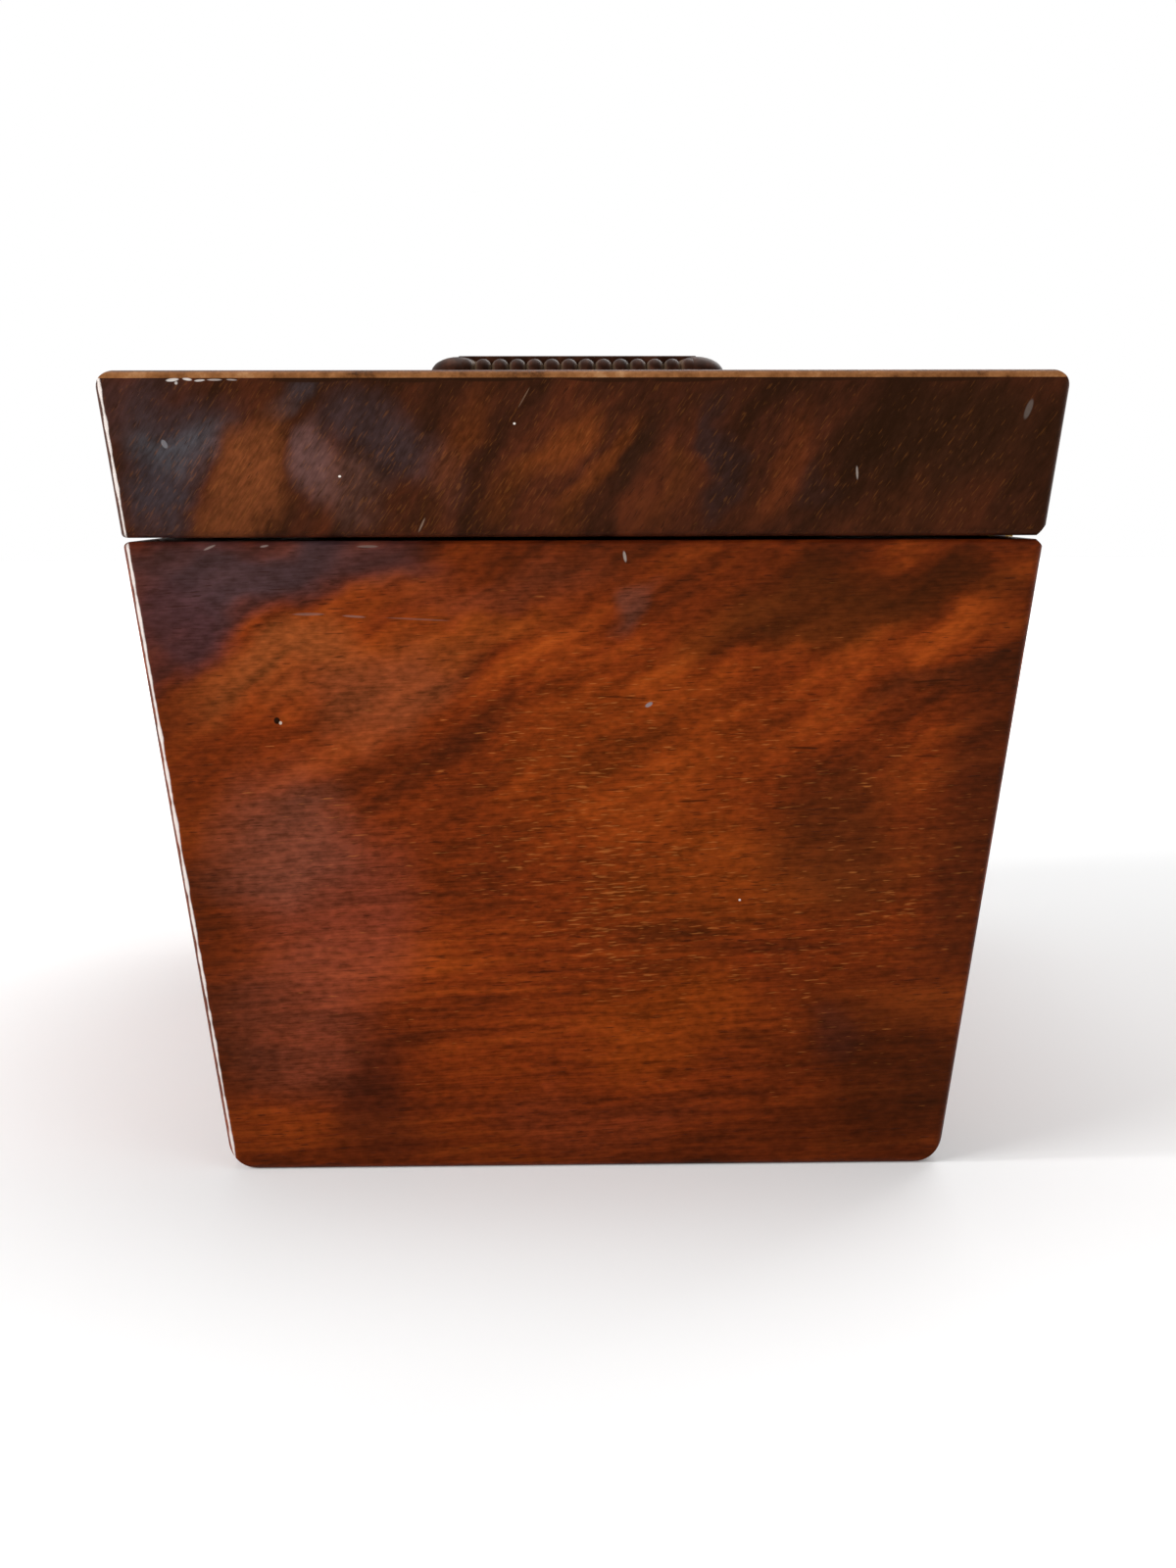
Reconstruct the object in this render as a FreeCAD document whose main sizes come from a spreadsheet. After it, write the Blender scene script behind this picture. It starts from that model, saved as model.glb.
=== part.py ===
"""A sarcophagus-shaped mahogany box with a hinged lid, a carved handle and a box lock.

X runs along the box, Y from front to back and Z up from the middle of its underside. Lengths are in mm.
"""

import FreeCAD, Part
import os
import re

import Sketcher

# Driving sizes, each with its own cell
SIZES = {
    # The closed box: its lid's top, how far every side leans out, and the saw cut that parts the lid
    "top_length": 290,
    "top_depth": 160,
    "box_height": 137.5,
    "flare": 18,
    "lid_height": 27.2,
    "seam_gap": 0.6,
    # Boards
    "wall": 12,
    "bottom_thick": 9,
    "liner_thick": 3,
    "floor_paper": 1,
    "veneer": 1.3,
    "core_thick": 9,
    "lid_paper": 1,
    # Worn edges: upright corners, the long and short lower edges, the lid's top, the seam
    "corner_round": 1.5,
    "foot_round": 6,
    "end_foot_round": 1.5,
    "top_round": 3,
    "end_top_round": 0.7,
    "seam_round": 1.2,
    "end_seam_round": 0.5,
    # Hinges, and the bevels behind them that stop the lid
    "lid_opening": 100,
    "stop_clearance": 0.05,
    "hinge_place": 57,
    "hinge_length": 38,
    "knuckles": 5,
    "hinge_leaf": 9,
    "leaf_thick": 1.4,
    "hinge_inset": 1.5,
    "knuckle_radius": 2.3,
    "knuckle_gap": 0.15,
    "knuckle_clearance": 0.3,
    "pin_radius": 1,
    "pin_clearance": 0.05,
    # Countersunk brass screws, with few flat sides
    "screw_sides": 8,
    "screw_head_radius": 2.1,
    "screw_head_depth": 1.2,
    "screw_radius": 1.05,
    "screw_tip_radius": 0.3,
    "screw_length": 11,
    "screw_point": 2.5,
    "screw_clearance": 0.05,
    "hinge_screw_spread": 13,
    "hinge_screw_inset": 5.6,
    # The lock, let down into the front board from its rim
    "lock_width": 54,
    "lock_height": 24,
    "lock_depth": 7,
    "lock_setback": 7.4,
    "lock_plate": 1,
    "selvedge_length": 68,
    "selvedge_depth": 8.4,
    "selvedge_thick": 1.5,
    "lock_screw_inset": 3.6,
    "link_spacing": 22,
    "link_thick": 3,
    "link_width": 3.6,
    "link_drop": 8,
    "link_rim": 0.8,
    "link_eye_height": 3.2,
    "link_clearance": 0.7,
    "bolt_thick": 1.6,
    "bolt_travel": 6,
    "bolt_clearance": 0.8,
    "bolt_slack": 0.3,
    "bolt_arm": 4,
    "bolt_bar": 5,
    "prong_height": 2.4,
    "key_drop": 17,
    "key_pin_radius": 1.2,
    "key_turn_radius": 3.4,
    "keyhole_radius": 2.6,
    "keyhole_slot": 2.4,
    "keyhole_length": 6.5,
    "escutcheon_rim": 1.1,
    "stud_radius": 0.9,
    "stud_collar": 1.7,
    "stud_clearance": 0.1,
    "stud_middle": 2,
    "stud_spread": 10,
    "bolt_tail": 15.5,
    "spring_thick": 0.5,
    "spring_length": 15,
    "spring_bend": 1.5,
    # The handle: a gadrooned tablet with round corner lobes
    "handle_width": 58.6,
    "handle_height": 7.2,
    "handle_plinth": 1.1,
    "handle_ovolo": 5.4,
    "handle_edge_round": 0.6,
    "gadroon_depth": 1.2,
    "gadroon_crest": 1.5,
    "gadroon_root": 1,
    "gadroons_across": 14,
    "gadroons_along": 28,
    "handle_screw_spread": 25,
    "handle_screw_length": 14,
    # How far a cutting tool runs past what it cuts
    "overrun": 5,
}

doc = FreeCAD.newDocument("SarcophagusBox")
sheet = doc.addObject("Spreadsheet::Sheet", "Sizes")
for row, (alias, value) in enumerate(SIZES.items(), start=1):
    sheet.set(f"A{row}", alias.replace("_", " "))
    sheet.set(f"B{row}", str(value))
    sheet.setAlias(f"B{row}", alias)
doc.recompute()

NODES = {}
SIGNS = {"left": "-1", "right": "1"}
AXES = {
    "up": FreeCAD.Rotation(),
    "down": FreeCAD.Rotation(FreeCAD.Vector(1, 0, 0), 180),
    "along": FreeCAD.Rotation(FreeCAD.Vector(0, 1, 0), 90),
    "back": FreeCAD.Rotation(FreeCAD.Vector(1, 0, 0), -90),
}


# Reading the sheet

def sums(text):
    """The same sum with each size named as a cell of the sheet."""
    return re.sub(r"[a-z]\w*", lambda word: "Sizes." + word[0] if word[0] in SIZES else word[0], text)


def number(text):
    """What a sum of sizes comes to now."""
    return float(sheet.evalExpression(sums(text)))


def bind(thing, **texts):
    """Ties properties of an object to sums of sizes."""
    for name, text in texts.items():
        thing.setExpression(name, sums(text))


def place(thing, x, y, z):
    """Ties an object's place to sums of sizes."""
    for axis, text in zip("xyz", (x, y, z)):
        thing.setExpression("Placement.Base." + axis, sums(text))


def keep(thing, node):
    """Names an object as a sub-part."""
    thing.Label = node
    NODES[node] = thing
    return thing


# Blocks, rods and booleans

def block(name, x, y, z):
    """A box between two sums on each axis."""
    box = doc.addObject("Part::Box", name)
    bind(box, Length=f"({x[1]}) - ({x[0]})", Width=f"({y[1]}) - ({y[0]})", Height=f"({z[1]}) - ({z[0]})")
    place(box, x[0], y[0], z[0])
    return box


def rod(name, radius, length, at, axis="up"):
    """A cylinder from a point along one of the named axes."""
    cylinder = doc.addObject("Part::Cylinder", name)
    cylinder.Placement.Rotation = AXES[axis]
    bind(cylinder, Radius=radius, Height=length)
    place(cylinder, *at)
    return cylinder


def peg(name, x, y, stations):
    """An upright few-sided solid with a radius of its own at each height."""
    rings = []
    for index, (height, radius) in enumerate(stations):
        ring = doc.addObject("Part::RegularPolygon", f"{name}_ring_{index}")
        bind(ring, Polygon="screw_sides", Circumradius=radius)
        place(ring, x, y, height)
        rings.append(ring)
    loft = doc.addObject("Part::Loft", name)
    loft.Sections = rings
    loft.Solid = True
    loft.Ruled = True
    loft.Linearize = True
    return loft


def fuse(name, pieces):
    joined = doc.addObject("Part::MultiFuse", name)
    joined.Shapes = pieces
    return joined


def common(name, pieces):
    shared = doc.addObject("Part::MultiCommon", name)
    shared.Shapes = pieces
    return shared


def cut(name, base, tools):
    result = doc.addObject("Part::Cut", name)
    result.Base = base
    result.Tool = tools[0] if len(tools) == 1 else fuse(name + "_tools", tools)
    return result


def group(name, pieces):
    """Separate solids that share one node."""
    compound = doc.addObject("Part::Compound", name)
    compound.Links = pieces
    return compound


# Sketches and features

def sketch(body, name, role, shift="0"):
    """An empty sketch on one of the body's own planes, moved along that plane's normal."""
    drawing = body.newObject("Sketcher::SketchObject", name)
    plane = [feature for feature in body.Origin.OriginFeatures if feature.Role == role][0]
    drawing.AttachmentSupport = (plane, "")
    drawing.MapMode = "FlatFace"
    drawing.setExpression("AttachmentOffset.Base.z", sums(shift))
    return drawing


def pin_point(drawing, curve, end, u, v):
    """Ties one point of a sketch to sums measured from its origin."""
    for kind, text in (("DistanceX", u), ("DistanceY", v)):
        index = drawing.addConstraint(Sketcher.Constraint(kind, -1, 1, curve, end, number(text)))
        drawing.setExpression(f"Constraints[{index}]", sums(text))


def outline(drawing, points):
    """A closed outline of straight lines through tied points."""
    corners = [FreeCAD.Vector(number(u), number(v), 0) for u, v in points]
    for start, end in zip(corners, corners[1:] + corners[:1]):
        drawing.addGeometry(Part.LineSegment(start, end), False)
    for line in range(len(points)):
        following = (line + 1) % len(points)
        drawing.addConstraint(Sketcher.Constraint("Coincident", line, 2, following, 1))
    for line, (u, v) in enumerate(points):
        pin_point(drawing, line, 1, u, v)


def circle(drawing, u, v, radius):
    """A circle with a tied centre and radius."""
    centre = FreeCAD.Vector(number(u), number(v), 0)
    curve = drawing.addGeometry(Part.Circle(centre, FreeCAD.Vector(0, 0, 1), number(radius)), False)
    pin_point(drawing, curve, 3, u, v)
    index = drawing.addConstraint(Sketcher.Constraint("Radius", curve, number(radius)))
    drawing.setExpression(f"Constraints[{index}]", sums(radius))


def rectangle(u, v):
    """The four corners between two sums on each axis of a sketch."""
    return [(u[0], v[0]), (u[1], v[0]), (u[1], v[1]), (u[0], v[1])]


def extrude(body, kind, name, drawing, length, side="Symmetric"):
    """A pad or pocket of a sketch, to both sides of it unless said otherwise."""
    feature = body.newObject("PartDesign::" + kind, name)
    feature.Profile = drawing
    feature.SideType = side
    bind(feature, Length=length)
    return feature


def round_edges(body, feature, name, radius, wanted):
    """Rounds the edges of a feature that a test of their middle and direction picks out."""
    doc.recompute()
    names = []
    for index, edge in enumerate(feature.Shape.Edges, start=1):
        middle = edge.CenterOfMass
        along = edge.tangentAt(edge.FirstParameter)
        if wanted(middle, along):
            names.append(f"Edge{index}")
    fillet = body.newObject("PartDesign::Fillet", name)
    fillet.Base = (feature, names)
    bind(fillet, Radius=radius)
    return fillet


# The leaning box form

SEAM = "(box_height - lid_height - seam_gap)"
LID_LOW = "(box_height - lid_height)"
MITRE_START = "(top_length - top_depth) / 2"


def half_length(height, inset="0"):
    return f"(top_length / 2 - flare * (1 - ({height}) / box_height) - ({inset}))"


def half_depth(height, inset="0"):
    return f"(top_depth / 2 - flare * (1 - ({height}) / box_height) - ({inset}))"


def frustum(name, low, high, inset="0", corner=None):
    """A slice of the leaning box form between two heights, set in by a wall."""
    body = doc.addObject("PartDesign::Body", name)
    section = sketch(body, name + "_section", "YZ_Plane")
    outline(section, [
        (f"-{half_depth(low, inset)}", low),
        (half_depth(low, inset), low),
        (half_depth(high, inset), high),
        (f"-{half_depth(high, inset)}", high),
    ])
    extrude(body, "Pad", name + "_pad", section, f"2 * ({half_length(high, inset)} + overrun)")
    under, over = f"({low}) - overrun", f"({high}) + overrun"
    waste_x = f"({half_length(over, inset)} + 2 * overrun)"
    for side, sign in (("left", "-"), ("right", "")):
        waste = sketch(body, f"{name}_{side}_slope", "XZ_Plane")
        outline(waste, [
            (f"{sign}{half_length(under, inset)}", under),
            (f"{sign}{waste_x}", under),
            (f"{sign}{waste_x}", over),
            (f"{sign}{half_length(over, inset)}", over),
        ])
        through = f"2 * ({half_depth(high, inset)} + overrun)"
        last = extrude(body, "Pocket", f"{name}_{side}_cut", waste, through)
    if corner:
        round_edges(
            body, last, name + "_corners", corner,
            lambda middle, along: abs(along.z) > abs(along.x),
        )
    return body


def prism(name, role, points, length, rounds):
    """A long solid of one profile, with its lengthwise edges rounded where the rounds' tests say."""
    body = doc.addObject("PartDesign::Body", name)
    drawing = sketch(body, name + "_profile", role)
    outline(drawing, points)
    last = extrude(body, "Pad", name + "_pad", drawing, length)
    axis = FreeCAD.Vector(1, 0, 0) if role == "YZ_Plane" else FreeCAD.Vector(0, 1, 0)
    for index, (radius, wanted) in enumerate(rounds):
        last = round_edges(
            body, last, f"{name}_round_{index}", radius,
            lambda middle, along: abs(along.dot(axis)) > abs(along.z) and wanted(middle),
        )
    return body


# The hinge line, and the bevels on the back edges that meet when the lid is fully open
LEAN = "(flare / box_height)"
PIVOT_Z = f"({SEAM} + seam_gap / 2)"
PIVOT_Y = f"({half_depth(PIVOT_Z)} - hinge_inset)"
STOP = "tan(lid_opening / 2)"
BEVEL_INNER_Y = f"{PIVOT_Y} + (seam_gap / 2 - stop_clearance) / {STOP}"
BASE_BEVEL = f"((hinge_inset - {LEAN} * stop_clearance) / (1 + {LEAN} * {STOP}))"
LID_BEVEL = f"((hinge_inset + {LEAN} * stop_clearance) / (1 - {LEAN} * {STOP}))"
BASE_BEVEL_Z = f"{PIVOT_Z} - stop_clearance - {BASE_BEVEL} * {STOP}"
LID_BEVEL_Z = f"{PIVOT_Z} + stop_clearance + {LID_BEVEL} * {STOP}"


def low_edge(middle):
    return middle.z < number(f"{SEAM} / 2")


def front_rim(middle):
    return middle.z > number(f"{SEAM} / 2") and middle.y < 0


def high_edge(middle):
    return middle.z > number(f"({SEAM} + box_height) / 2")


def front_lid_rim(middle):
    return not high_edge(middle) and middle.y < 0


def make_base_form():
    """The base as one block, its worn edges rounded as on the glued-up box."""
    run = "top_length + overrun"
    side = prism(
        "base_side_profile", "YZ_Plane",
        [
            (f"-{half_depth('0')}", "0"),
            (half_depth("0"), "0"),
            (f"{PIVOT_Y} + {BASE_BEVEL}", BASE_BEVEL_Z),
            (BEVEL_INNER_Y, SEAM),
            (f"-{half_depth(SEAM)}", SEAM),
        ],
        run, [("foot_round", low_edge), ("seam_round", front_rim)],
    )
    end = prism(
        "base_end_profile", "XZ_Plane",
        [
            (f"-{half_length('0')}", "0"),
            (half_length("0"), "0"),
            (half_length(SEAM), SEAM),
            (f"-{half_length(SEAM)}", SEAM),
        ],
        run, [("end_foot_round", low_edge), ("end_seam_round", lambda middle: not low_edge(middle))],
    )
    corners = frustum("base_corner_form", "0", SEAM, corner="corner_round")
    return common("base_form", [side, end, corners])


def make_lid_form():
    """The lid as one block, with its rounded top edges."""
    run = "top_length + overrun"
    side = prism(
        "lid_side_profile", "YZ_Plane",
        [
            (f"-{half_depth(LID_LOW)}", LID_LOW),
            (BEVEL_INNER_Y, LID_LOW),
            (f"{PIVOT_Y} + {LID_BEVEL}", LID_BEVEL_Z),
            ("top_depth / 2", "box_height"),
            ("-top_depth / 2", "box_height"),
        ],
        run, [("top_round", high_edge), ("seam_round", front_lid_rim)],
    )
    end = prism(
        "lid_end_profile", "XZ_Plane",
        [
            (f"-{half_length(LID_LOW)}", LID_LOW),
            (half_length(LID_LOW), LID_LOW),
            ("top_length / 2", "box_height"),
            ("-top_length / 2", "box_height"),
        ],
        run, [("end_top_round", high_edge), ("end_seam_round", lambda middle: not high_edge(middle))],
    )
    corners = frustum("lid_corner_form", LID_LOW, "box_height", corner="corner_round")
    return common("lid_form", [side, end, corners])


def make_mitres():
    """Upright wedges, one for each side, that part the walls along their mitred corners."""
    far_x = f"({MITRE_START} + top_depth)"
    plans = {
        "front": [(f"-{MITRE_START}", "0"), (f"-{far_x}", "-top_depth"),
                  (far_x, "-top_depth"), (MITRE_START, "0")],
        "back": [(f"-{MITRE_START}", "0"), (MITRE_START, "0"),
                 (far_x, "top_depth"), (f"-{far_x}", "top_depth")],
        "left": [(f"-{MITRE_START}", "0"), (f"-{far_x}", "top_depth"), (f"-{far_x}", "-top_depth")],
        "right": [(MITRE_START, "0"), (far_x, "-top_depth"), (far_x, "top_depth")],
    }
    wedges = {}
    for side, points in plans.items():
        body = doc.addObject("PartDesign::Body", side + "_mitre")
        drawing = sketch(body, side + "_mitre_plan", "XY_Plane")
        outline(drawing, points)
        extrude(body, "Pad", side + "_mitre_pad", drawing, "2 * (box_height + overrun)")
        wedges[side] = body
    return wedges


# Screws, and the holes that they stand in

WAYS = {"up": "+", "down": "-"}


def screw(name, x, y, z, way, length="screw_length"):
    """A countersunk wood screw, from the face of its head up or down."""
    sign = WAYS[way]
    return peg(name, x, y, [
        (z, "screw_head_radius"),
        (f"({z}) {sign} screw_head_depth", "screw_radius"),
        (f"({z}) {sign} ({length} - screw_point)", "screw_radius"),
        (f"({z}) {sign} {length}", "screw_tip_radius"),
    ])


def screw_hole(name, x, y, z, way, length="screw_length"):
    """The hole that a screw's shank needs in wood."""
    room = "screw_radius + screw_clearance"
    return peg(name, x, y, [(z, room), (f"({z}) {WAYS[way]} ({length} + screw_clearance)", room)])


def countersink(name, x, y, z, way):
    """The seat that a screw's head needs in a plate, right through it."""
    room = "screw_radius + screw_clearance"
    neck = f"({z}) {WAYS[way]} screw_head_depth"
    return peg(name, x, y, [
        (z, "screw_head_radius + screw_clearance"),
        (neck, room),
        (f"{neck} {WAYS[way]} overrun", room),
    ])


# Butt hinges

KNUCKLE_LENGTH = "(hinge_length / knuckles)"
HINGE_SCREW_SHARES = ("-1", "0", "1")
HINGE_SCREW_Y = f"{PIVOT_Y} - hinge_screw_inset"


def hinge_x(side):
    return f"({SIGNS[side]} * (top_length / 2 - hinge_place))"


def hinge_screw_places():
    """Where every hinge screw stands along the box, with a name for each."""
    for side in SIGNS:
        for index, share in enumerate(HINGE_SCREW_SHARES):
            yield f"{side}_{index}", f"{hinge_x(side)} + {share} * hinge_screw_spread"


def make_hinge_leaf(node, side, own, low, face, axis, bore):
    """A leaf with every other knuckle, cut away where the other leaf's knuckles turn."""
    body = doc.addObject("PartDesign::Body", node + "_blank")
    plate = sketch(body, node + "_plate", "YZ_Plane")
    outline(plate, rectangle((f"{PIVOT_Y} - hinge_leaf", PIVOT_Y), (low, f"({low}) + leaf_thick")))
    extrude(body, "Pad", node + "_plate_pad", plate, "hinge_length")
    barrel = sketch(body, node + "_barrel", "YZ_Plane")
    circle(barrel, PIVOT_Y, PIVOT_Z, "knuckle_radius")
    extrude(body, "Pad", node + "_barrel_pad", barrel, "hinge_length")
    for index in range(int(number("knuckles"))):
        if index % 2 == own:
            continue
        middle = f"({index} - (knuckles - 1) / 2) * {KNUCKLE_LENGTH}"
        notch = sketch(body, f"{node}_notch_{index}", "YZ_Plane", middle)
        circle(notch, PIVOT_Y, PIVOT_Z, "knuckle_radius + knuckle_clearance")
        extrude(body, "Pocket", f"{node}_notch_cut_{index}", notch, f"{KNUCKLE_LENGTH} + 2 * knuckle_gap")
    hole = sketch(body, node + "_bore", "YZ_Plane")
    circle(hole, PIVOT_Y, PIVOT_Z, bore)
    extrude(body, "Pocket", node + "_bore_cut", hole, "hinge_length + overrun")
    place(body, hinge_x(side), "0", "0")
    seats = [
        countersink(f"{node}_seat_{name}", x, HINGE_SCREW_Y, face, axis)
        for name, x in hinge_screw_places() if name.startswith(side)
    ]
    keep(cut(node, body, seats), node)


def make_hinges():
    base_low = f"{SEAM} - leaf_thick"
    for side in SIGNS:
        make_hinge_leaf(
            f"hinge_{side}_base_leaf", side, 0, base_low, SEAM, "down",
            "pin_radius + pin_clearance / 2",
        )
        make_hinge_leaf(
            f"hinge_{side}_lid_leaf", side, 1, LID_LOW, LID_LOW, "up",
            "pin_radius + pin_clearance",
        )
        start = f"{hinge_x(side)} - hinge_length / 2"
        node = f"hinge_{side}_pin"
        keep(rod(node, "pin_radius", "hinge_length", (start, PIVOT_Y, PIVOT_Z), "along"), node)
    for part, face, axis in (("base", SEAM, "down"), ("lid", LID_LOW, "up")):
        node = f"hinge_{part}_screws"
        screws = [screw(f"{node}_{name}", x, HINGE_SCREW_Y, face, axis) for name, x in hinge_screw_places()]
        keep(group(node, screws), node)


def hinge_recesses(part, low, high, face, axis):
    """What is cut from a back board for its two leaves, their barrels and their screws."""
    tools = []
    for side in SIGNS:
        x = (f"{hinge_x(side)} - hinge_length / 2", f"{hinge_x(side)} + hinge_length / 2")
        y = (f"{PIVOT_Y} - hinge_leaf", f"{PIVOT_Y} + hinge_inset + overrun")
        tools.append(block(f"{part}_{side}_leaf_recess", x, y, (low, high)))
        tools.append(rod(
            f"{part}_{side}_barrel_recess", "knuckle_radius + knuckle_clearance", "hinge_length",
            (x[0], PIVOT_Y, PIVOT_Z), "along",
        ))
    for name, x in hinge_screw_places():
        tools.append(screw_hole(f"{part}_hinge_hole_{name}", x, HINGE_SCREW_Y, face, axis))
    return tools


# The box lock: two loops on the lid drop through its top plate, and the bolt slides into them

LOCK_FRONT = f"(-{half_depth(SEAM)} + lock_setback - lock_depth / 2)"
LOCK_BACK = f"({LOCK_FRONT} + lock_depth)"
LOCK_MIDDLE = f"({LOCK_FRONT} + lock_depth / 2)"
LOCK_LOW = f"({SEAM} - lock_height)"
LOCK_TOP = f"({SEAM} - selvedge_thick)"
SELVEDGE_Y = (f"{LOCK_MIDDLE} - selvedge_depth / 2", f"{LOCK_MIDDLE} + selvedge_depth / 2")
KEY_Z = f"({SEAM} - key_drop)"
EYE_LOW = f"({LID_LOW} - link_drop + link_rim)"
LOCK_SCREW_X = "(selvedge_length / 2 - lock_screw_inset)"


def link_x(side):
    return f"({SIGNS[side]} * link_spacing / 2)"


def span(middle, width):
    """Two sums, half a width to each side of a middle."""
    return (f"{middle} - ({width}) / 2", f"{middle} + ({width}) / 2")


def keyhole(name, grow, y):
    """A round hole with a slot below it, through from front to back."""
    depth = f"({y[1]}) - ({y[0]})"
    pipe = rod(name + "_round", f"keyhole_radius + {grow}", depth, ("0", y[0], KEY_Z), "back")
    slot = block(name + "_slot", span("0", f"keyhole_slot + 2 * {grow}"), y,
                 (f"{KEY_Z} - keyhole_length - {grow}", KEY_Z))
    return fuse(name, [pipe, slot])


def make_lock():
    width = span("0", "lock_width")
    inner = span("0", "lock_width - 2 * lock_plate")
    cavity_y = (f"{LOCK_FRONT} + lock_plate", f"{LOCK_BACK} - lock_plate")
    shell = block("lock_shell", width, (LOCK_FRONT, LOCK_BACK), (LOCK_LOW, LOCK_TOP))
    selvedge = block("lock_selvedge", span("0", "selvedge_length"), SELVEDGE_Y, (LOCK_TOP, SEAM))
    cavity = block(
        "lock_cavity", inner, (cavity_y[0], f"{LOCK_BACK} + overrun"),
        (f"{LOCK_LOW} + lock_plate", LOCK_TOP),
    )
    slots = [
        block(
            f"lock_{side}_slot", span(link_x(side), "link_thick + 2 * link_clearance"),
            span(LOCK_MIDDLE, "link_width + 2 * link_clearance"),
            (f"{LOCK_TOP} - selvedge_thick", f"{SEAM} + overrun"),
        )
        for side in SIGNS
    ]
    seats = [
        countersink(f"lock_seat_{side}", f"{sign} * {LOCK_SCREW_X}", LOCK_MIDDLE, SEAM, "down")
        for side, sign in SIGNS.items()
    ]
    keyway = keyhole("lock_keyway", "0", (f"{LOCK_FRONT} - overrun", cavity_y[0]))
    hollow = cut("lock_hollow", shell, [cavity])
    case = cut("lock_case", fuse("lock_case_blank", [hollow, selvedge]), slots + seats + [keyway])
    keep(case, "lock_case")
    back = block("lock_back_plate", inner, (f"{LOCK_BACK} - lock_plate", LOCK_BACK),
                 (f"{LOCK_LOW} + lock_plate", LOCK_TOP))
    keep(back, "lock_back_plate")
    pin = rod("lock_key_pin", "key_pin_radius", f"{LOCK_BACK} - lock_plate - ({LOCK_FRONT})",
              ("0", LOCK_FRONT, KEY_Z), "back")
    keep(pin, "lock_key_pin")
    screws = [
        screw(f"lock_screw_{side}", f"{sign} * {LOCK_SCREW_X}", LOCK_MIDDLE, SEAM, "down")
        for side, sign in SIGNS.items()
    ]
    keep(group("lock_screws", screws), "lock_screws")
    make_studs(cavity_y)
    make_bolt()
    make_spring(inner)


BOLT_HIGH = f"({EYE_LOW} + (link_eye_height - prong_height) / 2 - 2 * bolt_clearance)"
STUD_Z = f"({BOLT_HIGH} - bolt_bar / 2)"


def stud_x(side):
    return f"(stud_middle + {SIGNS[side]} * stud_spread)"


def make_studs(cavity_y):
    """Two collared studs across the case that the bolt slides on."""
    studs = []
    for side in SIGNS:
        at = (stud_x(side), cavity_y[0], STUD_Z)
        stem = rod(f"lock_stud_{side}_stem", "stud_radius", "lock_depth - 2 * lock_plate", at, "back")
        reach = "(lock_depth - bolt_thick) / 2 - lock_plate - stud_clearance"
        collar = rod(f"lock_stud_{side}_collar", "stud_collar", reach, at, "back")
        studs.append(fuse(f"lock_stud_{side}", [stem, collar]))
    keep(group("lock_bolt_studs", studs), "lock_bolt_studs")


def make_bolt():
    """A comb-shaped bolt: a bar, two arms and a prong on each that enters a loop."""
    body = doc.addObject("PartDesign::Body", "lock_bolt")
    prong_low = f"({EYE_LOW} + (link_eye_height - prong_height) / 2)"
    prong_high = f"({prong_low} + prong_height)"
    bar_low = f"({BOLT_HIGH} - bolt_bar)"

    def tip(side):
        return f"({link_x(side)} - link_thick / 2 - bolt_clearance)"

    def shoulder(side):
        return f"({tip(side)} - bolt_travel - bolt_clearance)"

    def back(side):
        return f"({shoulder(side)} - bolt_arm)"

    drawing = sketch(body, "lock_bolt_outline", "XZ_Plane", f"-({LOCK_MIDDLE})")
    outline(drawing, [
        (back("left"), bar_low),
        ("-key_turn_radius", bar_low),
        ("-key_turn_radius / 2", f"{bar_low} + bolt_bar / 2"),
        ("key_turn_radius / 2", f"{bar_low} + bolt_bar / 2"),
        ("key_turn_radius", bar_low),
        ("bolt_tail", bar_low),
        ("bolt_tail", BOLT_HIGH),
        (shoulder("right"), BOLT_HIGH),
        (shoulder("right"), prong_low),
        (tip("right"), prong_low),
        (tip("right"), prong_high),
        (back("right"), prong_high),
        (back("right"), BOLT_HIGH),
        (shoulder("left"), BOLT_HIGH),
        (shoulder("left"), prong_low),
        (tip("left"), prong_low),
        (tip("left"), prong_high),
        (back("left"), prong_high),
    ])
    extrude(body, "Pad", "lock_bolt_pad", drawing, "bolt_thick")
    room = "stud_radius + stud_clearance"
    for side in SIGNS:
        slot = sketch(body, f"lock_bolt_{side}_slot", "XZ_Plane", f"-({LOCK_MIDDLE})")
        outline(slot, rectangle(
            (f"{stud_x(side)} - bolt_travel - ({room})", f"{stud_x(side)} + {room}"),
            span(STUD_Z, f"2 * ({room})"),
        ))
        extrude(body, "Pocket", f"lock_bolt_{side}_slot_cut", slot, "bolt_thick + overrun")
    keep(body, "lock_bolt")


def make_spring(inner):
    """A folded strip on the floor of the case, with its free limb under the bolt's bar."""
    body = doc.addObject("PartDesign::Body", "lock_spring")
    floor = f"({LOCK_LOW} + lock_plate)"
    bar_low = f"({BOLT_HIGH} - bolt_bar - bolt_slack)"
    fold = f"({inner[0]} + bolt_clearance)"
    drawing = sketch(body, "lock_spring_outline", "XZ_Plane", f"-({LOCK_MIDDLE})")
    outline(drawing, [
        (fold, floor),
        (f"{fold} + spring_length", floor),
        (f"{fold} + spring_length", f"{floor} + spring_thick"),
        (f"{fold} + spring_bend", f"{floor} + spring_thick"),
        (f"{fold} + spring_length", f"{bar_low} - spring_thick"),
        (f"{fold} + spring_length", bar_low),
        (fold, f"{floor} + 2 * spring_thick"),
    ])
    extrude(body, "Pad", "lock_spring_pad", drawing, "bolt_thick")
    keep(body, "lock_spring")


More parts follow.
